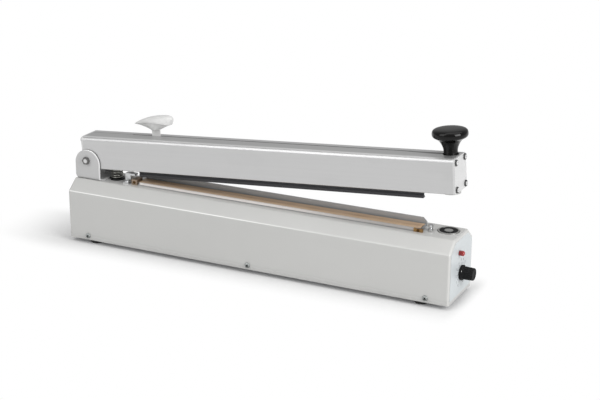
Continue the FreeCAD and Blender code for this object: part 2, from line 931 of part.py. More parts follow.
def magnet_bolt():
    """The bolt that pulls the pot down on its strap."""
    seat = vec(magnet_x, cutter_line, magnet_under_z - magnet_strap_sheet)
    head = rod(magnet_bolt_head, seat - vec(0, 0, magnet_bolt_head_height), seat)
    end = vec(magnet_x, cutter_line, magnet_under_z + magnet_bolt_length)
    return head.fuse(rod(magnet_bolt_radius, seat, end))


def control_label():
    """The thin printed panel on the right end, with holes for the timer and the lamp."""
    face_x = base_length + label_thickness
    form = housing_form(label_inset, base_length, face_x, edge_z + label_inset, 0, 0)
    cuts = []
    for radius, y, height in ((pot_nut_radius, 0, timer_z), (lamp_radius, lamp_y, lamp_z)):
        cuts.append(rod(radius + hole_gap, vec(base_length - past, y, height), vec(face_x + past, y, height)))
    return form.cut(cuts)


def potentiometer():
    """The timer's potentiometer behind the panel, with its neck through it."""
    inner_x = base_length - housing_sheet
    body = rod(pot_radius, vec(inner_x - pot_depth, 0, timer_z), vec(inner_x, 0, timer_z))
    neck = rod(pot_neck_radius, vec(inner_x, 0, timer_z), vec(inner_x + pot_neck_length, 0, timer_z))
    bore = rod(timer_shaft_radius + timer_fit, vec(inner_x - pot_depth / 2, 0, timer_z),
               vec(inner_x + pot_neck_length + past, 0, timer_z))
    return body.fuse(neck).cut(bore)


def pot_nut():
    """The nut that holds the potentiometer, hidden under the knob."""
    return ring(pot_nut_radius, pot_neck_radius, vec(base_length, 0, timer_z),
                vec(base_length + pot_nut_height, 0, timer_z))


def timer_shaft():
    """The potentiometer's shaft, which turns with the knob."""
    start = base_length - housing_sheet - pot_depth / 2 + hole_gap
    end = timer_back_x + timer_shaft_in_knob
    return rod(timer_shaft_radius, vec(start, 0, timer_z), vec(end, 0, timer_z))


def timer_knob():
    """The timer's knob: a skirt, a tapered grip, and a hollow back over the nut."""
    back = vec(timer_back_x, 0, timer_z)
    skirt_end = back + vec(timer_skirt_height, 0, 0)
    skirt = rod(timer_skirt_radius, back, skirt_end)
    grip = Part.makeCone(timer_body_radius, timer_tip_radius, timer_knob_length - timer_skirt_height,
                         skirt_end, vec(1, 0, 0))
    hollow = rod(pot_nut_radius + free_gap, back, back + vec(timer_back_recess, 0, 0))
    shaft = rod(timer_shaft_radius, back, back + vec(timer_shaft_in_knob, 0, 0))
    return skirt.fuse(grip).cut([hollow, shaft, timer_pointer()])


def timer_pointer():
    """The white pointer mark let into the knob's skirt, turned up from the front by the timer's setting."""
    face = timer_back_x + timer_skirt_height
    reach = timer_skirt_radius - hole_gap
    bar = block(face - timer_pointer_depth, face, -reach, 0, timer_z - timer_pointer_width / 2,
                timer_z + timer_pointer_width / 2)
    bar = bar.cut(rod(timer_body_radius, vec(timer_back_x, 0, timer_z), vec(timer_face_x, 0, timer_z)))
    return bar.rotate(vec(timer_back_x, 0, timer_z), vec(1, 0, 0), -timer_setting)


def lamp_lens():
    """The red pilot lamp: a lens with a domed end, and its body behind the panel."""
    seat = vec(base_length - housing_sheet, lamp_y, lamp_z)
    end = vec(base_length + lamp_proud, lamp_y, lamp_z)
    lens = rod(lamp_radius, seat, end)
    rim = [edge for edge in lens.Edges if edge.BoundBox.XMin > end.x - near]
    lens = lens.makeFillet(lamp_radius * lamp_dome_share, rim[:1])
    return lens.fuse(rod(lamp_body_radius, seat - vec(lamp_body_length, 0, 0), seat))


def mains_gland():
    """The snap-in gland where the mains cord enters the left end, with its bore."""
    mouth = vec(-gland_proud, gland_y, gland_z)
    seat = vec(0, gland_y, gland_z)
    end = vec(gland_inside, gland_y, gland_z)
    snap = vec(housing_sheet, gland_y, gland_z)
    neck = rod(gland_neck_radius, seat, end)
    body = rod(gland_radius, mouth, seat).fuse([neck, rod(gland_snap_radius, snap, end)])
    return body.cut(rod(gland_bore_radius, mouth, end))


def microswitch():
    """The switch that starts the seal, under the deck."""
    body = block(switch_x - switch_length / 2, switch_x + switch_length / 2, switch_y - switch_width / 2,
                 switch_y + switch_width / 2, deck_under_z - switch_height, deck_under_z)
    floor = plunger_in_switch + plunger_travel + plunger_floor_gap
    top = vec(switch_x, switch_y, deck_under_z)
    return body.cut(rod(plunger_radius + plunger_fit, top - vec(0, 0, floor), top + vec(0, 0, past)))


def switch_plunger():
    """The switch's plunger, through the deck."""
    return rod(plunger_radius, vec(switch_x, switch_y, deck_under_z - plunger_in_switch),
               vec(switch_x, switch_y, plunger_top_z))


def switch_peg():
    """The peg under the arm that presses the plunger."""
    return rod(peg_radius, vec(switch_x, switch_y, peg_under_z), vec(switch_x, switch_y, arm_under_z))


def transformer_core():
    """The laminated iron core with a window each side of its middle leg."""
    x0 = core_from_left
    z0 = tray_top_z
    core = block(x0, x0 + core_length, -core_depth / 2, core_depth / 2, z0, z0 + core_height)
    window_z = z0 + (core_height - core_window_height) / 2
    middle = x0 + core_length / 2
    windows = []
    for start in (middle - core_leg / 2 - core_window_width, middle + core_leg / 2):
        windows.append(block(start, start + core_window_width, -core_depth, core_depth, window_z,
                             window_z + core_window_height))
    return core.cut(windows)


def transformer_coil():
    """The winding round the core's middle leg."""
    middle = core_from_left + core_length / 2
    half = core_leg / 2 + core_window_width - coil_gap
    depth = core_depth / 2 + coil_overhang
    z0 = tray_top_z + (core_height - core_window_height) / 2 + coil_gap
    z1 = z0 + core_window_height - 2 * coil_gap
    coil = block(middle - half, middle + half, -depth, depth, z0, z1)
    leg = core_leg / 2 + coil_gap
    side = core_depth / 2 + coil_gap
    return coil.cut(block(middle - leg, middle + leg, -side, side, z0 - past, z1 + past))


def strap_screw_places():
    """The seats of the transformer strap's two screws."""
    z = tray_top_z + strap_sheet
    left = core_from_left - strap_sheet - strap_foot / 2
    right = core_from_left + core_length + strap_sheet + strap_foot / 2
    return [vec(left, 0, z), vec(right, 0, z)]


def transformer_strap():
    """The strap over the core, with a foot at each end."""
    x0 = core_from_left
    x1 = core_from_left + core_length
    z1 = tray_top_z + core_height
    side = strap_width / 2
    outer = block(x0 - strap_sheet, x1 + strap_sheet, -side, side, tray_top_z, z1 + strap_sheet)
    inner = block(x0, x1, -side - past, side + past, tray_top_z - past, z1)
    feet = []
    reach = strap_foot / 2
    for place in strap_screw_places():
        feet.append(block(place.x - reach, place.x + reach, -side, side, tray_top_z, place.z))
    strap = outer.cut(inner).fuse(feet).removeSplitter()
    holes = []
    for place in strap_screw_places():
        low = place - vec(0, 0, screw_grip)
        holes.append(rod(small_shank + screw_hole_gap, place + vec(0, 0, past), low))
    return strap.cut(holes)


def standoff_places():
    """The feet of the circuit board's standoffs on the tray."""
    places = []
    for x in (board_start + board_hole_inset, board_start + board_length - board_hole_inset):
        for side in (-1, 1):
            places.append(vec(x, side * (board_depth / 2 - board_hole_inset), tray_top_z))
    return places


def board_standoffs():
    """The plastic posts between the tray and the circuit board, with a peg through the board."""
    posts = []
    for place in standoff_places():
        top = place + vec(0, 0, board_lift)
        post = rod(standoff_radius, place, top)
        peg = rod(standoff_peg_radius, top, top + vec(0, 0, board_thickness + standoff_peg_height))
        bore = rod(small_shank + screw_hole_gap, place, place + vec(0, 0, standoff_bore_depth))
        posts.append(post.fuse(peg).cut(bore))
    return Part.makeCompound(posts)


def circuit_board():
    """The timer's circuit board."""
    side = board_depth / 2
    x1 = board_start + board_length
    board = block(board_start, x1, -side, side, board_z, board_z + board_thickness)
    holes = []
    for place in standoff_places():
        top = place + vec(0, 0, board_lift + board_thickness + past)
        holes.append(rod(standoff_peg_radius + screw_hole_gap, place, top))
    return board.cut(holes)


def board_parts():
    """A relay, a capacitor and a regulator on the board."""
    z = board_z + board_thickness
    x0 = board_start + board_part_inset
    relay = block(x0, x0 + relay_length, -relay_depth / 2, relay_depth / 2, z, z + relay_height)
    can = vec(x0 + relay_length + 2 * capacitor_radius, 0, z)
    capacitor = rod(capacitor_radius, can, can + vec(0, 0, capacitor_height))
    chip_x = can.x + 2 * capacitor_radius
    regulator = block(chip_x, chip_x + regulator_depth, -regulator_length / 2, regulator_length / 2,
                      z, z + regulator_height)
    return Part.makeCompound([relay, capacitor, regulator])


def arm_section(x0, x1, inset):
    """The arm's rounded box, or its hollow when drawn in by the wall."""
    box = block(x0, x1, inset - arm_half, arm_half - inset, arm_under_z + inset, arm_top_z - inset)
    long_edges = edges_along(box, vec(1, 0, 0))
    middle_z = (arm_under_z + arm_top_z) / 2
    tops = [edge for edge in long_edges if edge.BoundBox.ZMin > middle_z]
    box = box.makeFillet(arm_top_round - inset, tops)
    if inset > 0:
        return box
    return box.makeFillet(arm_bottom_round, low_edges(box, arm_under_z))


def port_places(x):
    """The four screw ports in the arm's corners, at a place along the arm."""
    places = []
    for y in (port_inset - arm_half, arm_half - port_inset):
        for z in (arm_under_z + port_inset, arm_top_z - port_inset):
            places.append(vec(x, y, z))
    return places


def long_slot(z0, z1):
    """The cutter's slot through a wall of the arm, with round ends."""
    half = slot_width / 2
    slot = block(slot_start, slot_end, cutter_line - half, cutter_line + half, z0, z1)
    ends = []
    for x in (slot_start, slot_end):
        ends.append(rod(half, vec(x, cutter_line, z0), vec(x, cutter_line, z1)))
    return slot.fuse(ends)


def arm_profile():
    """The arm's aluminium profile: a hollow box with screw ports, slotted for the cutter."""
    reach = port_inset + port_half
    outer = arm_section(profile_start, profile_end, 0)
    tube = outer.cut(arm_section(profile_start - past, profile_end + past, arm_wall))
    ports = []
    for y0, y1 in ((-arm_half, reach - arm_half), (arm_half - reach, arm_half)):
        for z0, z1 in ((arm_under_z, arm_under_z + reach), (arm_top_z - reach, arm_top_z)):
            ports.append(block(profile_start, profile_end, y0, y1, z0, z1).common(outer))
    cuts = []
    for place in port_places(profile_start):
        cuts.append(rod(small_shank + pin_fit, place - vec(past, 0, 0), place + vec(profile_end, 0, 0)))
    cuts.append(long_slot(arm_top_z - arm_wall - past, arm_top_z + past))
    cuts.append(long_slot(arm_under_z - past, arm_under_z + arm_wall + past))
    cuts.append(rod(pin_radius + free_gap, pin_point(-arm_half - past), pin_point(arm_half + past)))
    handle = vec(handle_x, cutter_line, arm_top_z)
    sunk = handle_foot_sink + handle_travel + closing_gap
    cuts.append(rod(handle_foot_radius + handle_hole_gap, handle - vec(0, 0, sunk), handle + vec(0, 0, past)))
    low = vec(handle_x, cutter_line, arm_under_z)
    cuts.append(rod(stud_radius + free_gap, low - vec(0, 0, past), low + vec(0, 0, 2 * arm_wall)))
    return tube.fuse(ports).cut(cuts)


def end_plate(x0):
    """A plate that closes one end of the arm, with four screw holes."""
    plate = arm_section(x0, x0 + end_plate_sheet, 0)
    holes = []
    for place in port_places(x0):
        through = vec(end_plate_sheet + past, 0, 0)
        holes.append(rod(small_shank + screw_hole_gap, place - vec(past, 0, 0), place + through))
    return plate.cut(holes)


def arm_end_screws():
    """The screws that hold both end plates."""
    screw = cross_screw(end_screw_head, end_screw_head_height, small_shank, small_length)
    screws = [seated(screw, place, vec(-1, 0, 0)) for place in port_places(arm_from_left)]
    screws += [seated(screw, place, vec(1, 0, 0)) for place in port_places(arm_end)]
    return Part.makeCompound(screws)


def hinge_block():
    """The bearing block inside the arm's left end, bored for the hinge pin."""
    side = arm_half - port_inset - port_half - free_gap
    top_z = pin_z + pin_radius + hinge_block_wall
    x1 = profile_start + hinge_block_length
    body = block(profile_start, x1, -side, side, arm_under_z + arm_wall, top_z)
    return body.cut(rod(pin_radius + pin_fit, pin_point(-side - past), pin_point(side + past)))


def rubber_span():
    """The front and rear of the rubber strip, clear of the cutter's slot."""
    return -rubber_front, cutter_line - slot_width / 2 - rubber_slot_gap


def pressure_rubber():
    """The rubber strip that presses the film on the bar, bevelled at both ends."""
    front, rear = rubber_span()
    top_z = arm_under_z
    low_z = arm_under_z - rubber_height
    bevel_z = low_z + rubber_bevel_height
    points = [
        vec(rubber_start, front, top_z),
        vec(rubber_end, front, top_z),
        vec(rubber_end, front, bevel_z),
        vec(rubber_end - rubber_bevel, front, low_z),
        vec(rubber_start + rubber_bevel, front, low_z),
        vec(rubber_start, front, bevel_z),
    ]
    return prism(points, vec(0, rear - front, 0))


def bowed(start, end, share):
    """An arc whose middle stands off its chord, to the right of its run, by a share of the chord's length."""
    run = end - start
    middle = (start + end) * 0.5 + vec(run.z, 0, -run.x) * share
    return Part.Arc(start, middle, end).toShape()


def handle_knob():
    """The black mushroom knob on its stud: a round foot, a flared neck and a low crowned cap."""
    foot = vec(handle_x, cutter_line, handle_foot_z)
    side = foot + vec(handle_foot_radius, 0, 0)
    neck = side + vec(0, 0, handle_foot_height)
    flare = foot + vec(handle_flare_radius, 0, handle_flare_height)
    rim = foot + vec(handle_knob_cap, 0, handle_rim_height)
    crown = foot + vec(handle_crown_radius, 0, handle_crown_height)
    top = foot + vec(0, 0, handle_knob_height)
    rise = handle_knob_height - handle_crown_height
    ball = (handle_crown_radius * handle_crown_radius + rise * rise) / (2 * rise)
    half_turn = math.asin(handle_crown_radius / ball) / 2
    dome = top + vec(ball * math.sin(half_turn), 0, ball * (math.cos(half_turn) - 1))
    edges = [
        Part.LineSegment(foot, side).toShape(),
        Part.LineSegment(side, neck).toShape(),
        bowed(neck, flare, -handle_neck_share),
        bowed(flare, rim, handle_lip_share),
        bowed(rim, crown, handle_rim_share),
        Part.Arc(crown, dome, top).toShape(),
        Part.LineSegment(top, foot).toShape(),
    ]
    knob = Part.Face(Part.Wire(edges)).revolve(foot, vec(0, 0, 1), 360)
    return knob.cut(rod(stud_radius, foot, foot + vec(0, 0, stud_in_knob)))


def handle_stud():
    """The steel stud from the knob through the arm, with a spigot riveted in the keeper."""
    top = vec(handle_x, cutter_line, handle_foot_z + stud_in_knob)
    shoulder = vec(handle_x, cutter_line, keeper_top_z)
    spigot = rod(keeper_spigot, vec(handle_x, cutter_line, keeper_under_z), shoulder)
    return rod(stud_radius, shoulder, top).fuse(spigot)


def stud_guide():
    """The flanged bush inside the arm that guides the stud and carries its spring."""
    foot = vec(handle_x, cutter_line, arm_under_z + arm_wall)
    top = foot + vec(0, 0, stud_guide_height)
    flange = rod(stud_guide_flange, top - vec(0, 0, stud_guide_flange_height), top)
    return rod(stud_guide_radius, foot, top).fuse(flange).cut(rod(stud_radius + stud_fit, foot, top))


def handle_spring():
    """The spring that holds the handle up."""
    foot = vec(handle_x, cutter_line, arm_under_z + arm_wall + stud_guide_height)
    return coil_spring("handle_spring", handle_spring_radius, handle_spring_wire, handle_spring_turns, foot,
                       handle_foot_z - spring_end_gap - foot.z)


def magnet_keeper():
    """The steel disc that the magnet holds."""
    return ring(keeper_radius, keeper_spigot, vec(handle_x, cutter_line, keeper_under_z),
                vec(handle_x, cutter_line, keeper_top_z))


def cutter_track():
    """The lipped channel under the arm's top that the slider runs in."""
    inner = slider_width / 2 + slider_gap
    outer = inner + track_wall
    low_z = slider_z - slider_gap - track_wall
    x0 = slot_start - track_end_gap - slider_length / 2
    x1 = slot_end + track_end_gap + slider_length / 2
    track = block(x0, x1, cutter_line - outer, cutter_line + outer, low_z, arm_inner_top_z)
    hollow = block(x0 - past, x1 + past, cutter_line - inner, cutter_line + inner, slider_z - slider_gap,
                   arm_inner_top_z + past)
    way = inner - track_lip
    gap = block(x0 - past, x1 + past, cutter_line - way, cutter_line + way, low_z - past, slider_z)
    return track.cut([hollow, gap])


def cutter_slider():
    """The plastic carriage in the track, slotted for the plunger, with two spring pockets."""
    x = cutter_x
    half = slider_width / 2
    body = block(x - slider_length / 2, x + slider_length / 2, cutter_line - half, cutter_line + half,
                 slider_z, slider_top_z)
    way_x = plunger_width / 2 + plunger_slide_gap
    way_y = plunger_thickness / 2 + plunger_slide_gap
    low_z = slider_z - past
    high_z = slider_top_z + past
    cuts = [block(x - way_x, x + way_x, cutter_line - way_y, cutter_line + way_y, low_z, high_z)]
    pocket = cutter_spring_radius + cutter_spring_wire / 2 + cutter_spring_pocket_gap
    for place in cutter_spring_places():
        cuts.append(rod(pocket, place, vec(place.x, place.y, high_z)))
    return body.cut(cuts)


def cutter_spring_places():
    """The feet of the two return springs in the slider's pockets."""
    z = slider_z + cutter_spring_floor
    return [vec(cutter_x + side * cutter_spring_offset, cutter_line, z) for side in (-1, 1)]


def cutter_springs():
    """The two springs that lift the cutter."""
    springs = []
    for place in cutter_spring_places():
        height = plunger_bar_z - spring_end_gap - place.z
        springs.append(coil_spring("cutter_spring", cutter_spring_radius, cutter_spring_wire,
                                   cutter_spring_turns, place, height))
    return Part.makeCompound(springs)


def stem_top_z():
    """The top of the cutter knob's flat stem."""
    return arm_top_z + knob_stem_height


def cutter_plunger():
    """The flat plunger through the slot, with a cross bar over the springs."""
    x = cutter_x
    half = plunger_width / 2
    thick = plunger_thickness / 2
    plate = block(x - half, x + half, cutter_line - thick, cutter_line + thick, slider_z, stem_top_z())
    reach = plunger_bar_length / 2
    side = slider_width / 2
    bar = block(x - reach, x + reach, cutter_line - side, cutter_line + side,
                plunger_bar_z, plunger_bar_top_z)
    recess = block(x - half, x + half, cutter_line + thick - blade_thickness, cutter_line + thick,
                   slider_z, slider_z + blade_lap)
    return plate.fuse(bar).cut(recess)


def cutter_blade():
    """The pointed steel blade in the plunger's recess."""
    x = cutter_x
    half = plunger_width / 2
    rear = cutter_line + plunger_thickness / 2
    low_z = arm_under_z - blade_below_arm
    points = [
        vec(x - half, rear, slider_z + blade_lap),
        vec(x - half, rear, low_z + blade_point),
        vec(x, rear, low_z),
        vec(x + half, rear, low_z + blade_point),
        vec(x + half, rear, slider_z + blade_lap),
    ]
    return prism(points, vec(0, -blade_thickness, 0))


def egg_outline(shrink, z):
    """An egg-shaped outline with a blunt right end and a narrow left end, drawn in by shrink."""
    blunt = knob_blunt_radius * shrink
    tip = knob_tip_radius * shrink
    x_blunt = cutter_x + (knob_length - knob_tip_side - knob_blunt_radius) * shrink
    x_tip = cutter_x + (knob_tip_radius - knob_tip_side) * shrink
    lean = math.asin((blunt - tip) / (x_blunt - x_tip))
    sin, cos = math.sin(lean), math.cos(lean)
    y = cutter_line
    upper_blunt = vec(x_blunt - blunt * sin, y + blunt * cos, z)
    lower_blunt = vec(x_blunt - blunt * sin, y - blunt * cos, z)
    upper_tip = vec(x_tip - tip * sin, y + tip * cos, z)
    lower_tip = vec(x_tip - tip * sin, y - tip * cos, z)
    edges = [
        Part.LineSegment(upper_tip, upper_blunt).toShape(),
        Part.Arc(upper_blunt, vec(x_blunt + blunt, y, z), lower_blunt).toShape(),
        Part.LineSegment(lower_blunt, lower_tip).toShape(),
        Part.Arc(lower_tip, vec(x_tip - tip, y, z), upper_tip).toShape(),
    ]
    return Part.Wire(edges)


def cutter_knob():
    """The pale thumb knob: a cone under an egg-shaped rim with a low dome over it."""
    rim_z = stem_top_z() + knob_cone_height
    foot_shrink = knob_neck_radius / knob_blunt_radius
    cone = Part.makeLoft([egg_outline(foot_shrink, stem_top_z()), egg_outline(1.0, rim_z)], True, True)
    dome_levels = [(1.0, 0.0), (0.93, 0.45), (0.78, 0.75), (0.55, 0.93), (0.28, 1.0)]
    wires = [egg_outline(shrink, rim_z + knob_dome_height * share) for shrink, share in dome_levels]
    dome = Part.makeLoft(wires, True, True)
    return cone.fuse(dome)


def lifted(shape):
    """An arm piece turned up about the hinge pin to where the photographed arm rests."""
    return shape.rotated(pin_point(0), vec(0, -1, 0), open_angle)


base_pieces = {
    "base_housing": base_housing(),
    "bottom_tray": bottom_tray(),
    "rubber_feet": rubber_feet(),
    "side_screws": side_screws(),
    "small_screws": small_screws(),
    "bar_channel": bar_channel(),
    "sealing_bar": sealing_bar(),
    "heating_band": heating_band(),
    "nonstick_sheet": nonstick_sheet(),
    "clamp_strip": clamp_strip(),
    "terminal_left": terminal_left(),
    "terminal_right": terminal_right(),
    "terminal_screws": terminal_screws(),
    "tension_bracket": tension_bracket(),
    "post_bush": post_bush(),
    "terminal_post": terminal_post(),
    "hinge_bracket": hinge_bracket(),
    "hinge_pin": hinge_pin(),
    "hinge_nut": hinge_nut(),
    "lift_spring": lift_spring(),
    "spring_seat": spring_seat(),
    "magnet_pot": magnet_pot(),
    "magnet_resin": magnet_resin(),
    "magnet_bracket": magnet_bracket(),
    "magnet_bolt": magnet_bolt(),
    "control_label": control_label(),
    "potentiometer": potentiometer(),
    "pot_nut": pot_nut(),
    "timer_shaft": timer_shaft(),
    "timer_knob": timer_knob(),
    "timer_pointer": timer_pointer(),
    "lamp_lens": lamp_lens(),
    "mains_gland": mains_gland(),
    "microswitch": microswitch(),
    "switch_plunger": switch_plunger(),
    "transformer_core": transformer_core(),
    "transformer_coil": transformer_coil(),
    "transformer_strap": transformer_strap(),
    "board_standoffs": board_standoffs(),
    "circuit_board": circuit_board(),
    "board_parts": board_parts(),
}

arm_pieces = {
    "arm_profile": arm_profile(),
    "arm_end_plate_left": end_plate(arm_from_left),
    "arm_end_plate_right": end_plate(profile_end),
    "arm_end_screws": arm_end_screws(),
    "hinge_block": hinge_block(),
    "pressure_rubber": pressure_rubber(),
    "switch_peg": switch_peg(),
    "handle_knob": handle_knob(),
    "handle_stud": handle_stud(),
    "stud_guide": stud_guide(),
    "handle_spring": handle_spring(),
    "magnet_keeper": magnet_keeper(),
    "cutter_track": cutter_track(),
    "cutter_slider": cutter_slider(),
    "cutter_springs": cutter_springs(),
    "cutter_plunger": cutter_plunger(),
    "cutter_blade": cutter_blade(),
    "cutter_knob": cutter_knob(),
}

os.makedirs("parts", exist_ok=True)
to_origin = vec(-origin_x, 0, 0)
for name, shape in base_pieces.items():
    shape.translated(to_origin).exportStep("parts/" + name + ".step")
for name, shape in arm_pieces.items():
    lifted(shape).translated(to_origin).exportStep("parts/" + name + ".step")
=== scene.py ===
"""A bench heat sealer dressed for viewing: hinged arm, sliding cutter, magnet catch and timer panel."""
import json
import logging
import math
from collections.abc import Sequence
from dataclasses import dataclass, field
from enum import Enum
from typing import Any

import bmesh
import bpy
import numpy as np
from mathutils import Matrix, Vector


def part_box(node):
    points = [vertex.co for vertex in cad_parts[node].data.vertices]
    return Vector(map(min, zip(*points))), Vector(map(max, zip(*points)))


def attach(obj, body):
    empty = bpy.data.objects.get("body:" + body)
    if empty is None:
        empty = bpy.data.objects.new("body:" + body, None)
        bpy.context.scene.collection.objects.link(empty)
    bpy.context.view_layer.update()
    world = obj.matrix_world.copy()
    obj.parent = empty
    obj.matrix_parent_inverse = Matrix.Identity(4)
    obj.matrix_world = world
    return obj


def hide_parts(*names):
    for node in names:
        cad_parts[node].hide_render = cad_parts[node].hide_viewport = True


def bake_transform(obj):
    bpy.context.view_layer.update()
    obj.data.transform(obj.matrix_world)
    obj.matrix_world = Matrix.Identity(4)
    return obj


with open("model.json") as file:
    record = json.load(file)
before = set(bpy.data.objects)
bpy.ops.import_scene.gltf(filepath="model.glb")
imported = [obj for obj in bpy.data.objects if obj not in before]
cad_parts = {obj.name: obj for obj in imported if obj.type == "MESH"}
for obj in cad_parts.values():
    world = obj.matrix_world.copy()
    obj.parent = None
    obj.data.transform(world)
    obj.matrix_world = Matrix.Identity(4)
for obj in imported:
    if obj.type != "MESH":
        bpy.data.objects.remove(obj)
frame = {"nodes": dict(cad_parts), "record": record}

log = logging.getLogger("heat_sealer")

Array = np.ndarray
Socket = bpy.types.NodeSocket
Colour = tuple[float, float, float]
Point = tuple[float, float, float]
Span = tuple[float, float]
Line = tuple[tuple[float, float], ...]

ORIGIN: Point = (0.0, 0.0, 0.0)
UNTURNED: Point = (0.0, 0.0, 0.0)
FULL_TURN = 2.0 * math.pi

# A length below this, in metres, counts as nothing
TINY = 1e-6

# Angle in degrees past which an edge usually stays sharp
CREASE = 40.0

# The colour sockets of a Mix node go by number, because its kinds share their names
MIX_SHARE, MIX_FIRST, MIX_SECOND, MIX_RESULT = 0, 6, 7, 2

# The housing's left end, from which places along the sealer are measured
LEFT_END = float(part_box("base_housing")[0].x)


class Body(Enum):
    """The moving bodies that a piece can ride on."""

    BASE = "base"
    ARM = "arm"
    HANDLE = "handle"
    CARRIAGE = "cutter_carriage"
    CUTTER = "cutter"
    TIMER = "timer"


class Axis(Enum):
    """The direction in which a striped finish changes."""

    ACROSS = 1
    UP = 2


def tone(red: int, green: int, blue: int) -> Colour:
    """Linear colour of a shade given in display steps from 0 to 255.

    The usual display curve: a straight foot, and above it a power of the step's share.

    Args:
        red: Red step.
        green: Green step.
        blue: Blue step.

    Returns:
        The three linear parts.
    """
    share = np.array([red, green, blue]) / 255.0
    linear = np.where(share <= 0.04045, share / 12.92, ((share + 0.055) / 1.055) ** 2.4)
    return tuple(float(part) for part in linear)


def even(size: float) -> Point:
    """The same number three times: a size along every axis, or a grey."""
    return (size, size, size)


@dataclass(frozen=True)
class ArmPlace:
    """Where the arm rests: turned up about its hinge pin from where it closes."""

    pin: Point = tuple(next(joint for joint in frame["record"]["behaviour"]["joints"]
                            if joint["name"] == "arm_hinge")["pos_m"])
    angle: float = math.radians(4.5)

    def lift(self, points: Array) -> Array:
        """Points of the closed arm turned up about the pin, in the plane of the arm's length and height.

        Args:
            points: Points of the closed arm, the last axis being x, y, z.

        Returns:
            The points where the arm rests.
        """
        along = points[..., 0] - self.pin[0]
        rise = points[..., 2] - self.pin[2]
        cosine, sine = math.cos(self.angle), math.sin(self.angle)
        lifted = [self.pin[0] + along * cosine - rise * sine, points[..., 1],
                  self.pin[2] + along * sine + rise * cosine]
        return np.stack(lifted, axis=-1)

    def turn(self) -> Point:
        """The angles that line a pattern up with the arm."""
        return (0.0, -self.angle, 0.0)


ARM = ArmPlace()


class Value:
    """A number that varies over a surface: one output socket with arithmetic."""

    def __init__(self, graph: "Graph", socket: Socket) -> None:
        """Keeps the output that gives the number, and the graph in which new nodes are made."""
        self.graph = graph
        self.socket = socket

    def __add__(self, other: "Value | float") -> "Value":
        """This number plus another."""
        return self.graph.math("ADD", self, other)

    def __radd__(self, other: float) -> "Value":
        """A plain number plus this one."""
        return self.graph.math("ADD", other, self)

    def __sub__(self, other: "Value | float") -> "Value":
        """This number less another."""
        return self.graph.math("SUBTRACT", self, other)

    def __rsub__(self, other: float) -> "Value":
        """A plain number less this one."""
        return self.graph.math("SUBTRACT", other, self)

    def __mul__(self, other: "Value | float") -> "Value":
        """This number times another."""
        return self.graph.math("MULTIPLY", self, other)

    def __rmul__(self, other: float) -> "Value":
        """A plain number times this one."""
        return self.graph.math("MULTIPLY", other, self)

    def __truediv__(self, other: "Value | float") -> "Value":
        """This number over another."""
        return self.graph.math("DIVIDE", self, other)

    def __rtruediv__(self, other: float) -> "Value":
        """A plain number over this one."""
        return self.graph.math("DIVIDE", other, self)

    def __abs__(self) -> "Value":
        """This number without its sign."""
        return self.graph.math("ABSOLUTE", self)

    def sine(self) -> "Value":
        """The sine of this number, in radians."""
        return self.graph.math("SINE", self)

    def root(self) -> "Value":
        """The square root of this number."""
        return self.graph.math("SQRT", self)

    def least(self, other: "Value | float") -> "Value":
        """The smaller of this number and another."""
        return self.graph.math("MINIMUM", self, other)

    def most(self, other: "Value | float") -> "Value":
        """The larger of this number and another."""
        return self.graph.math("MAXIMUM", self, other)

    def reach(self, other: "Value") -> "Value":
        """The distance that this number and another make at right angles."""
        return (self * self + other * other).root()

    def wave(self, pitch: float) -> "Value":
        """A sine between 0 and 1 that comes round once in each pitch."""
        return (self * (FULL_TURN / pitch)).sine() * 0.5 + 0.5

    def rise(self, low: float, high: float) -> "Value":
        """A smooth step from 0 to 1.

        Args:
            low: Where the step starts.
            high: Where it has reached 1.

        Returns:
            The step's height.
        """
        node = self.graph.node(
            "ShaderNodeMapRange",
            {"interpolation_type": "SMOOTHSTEP"},
            {"Value": self, "From Min": low, "From Max": high},
        )
        return Value(self.graph, node.outputs["Result"])


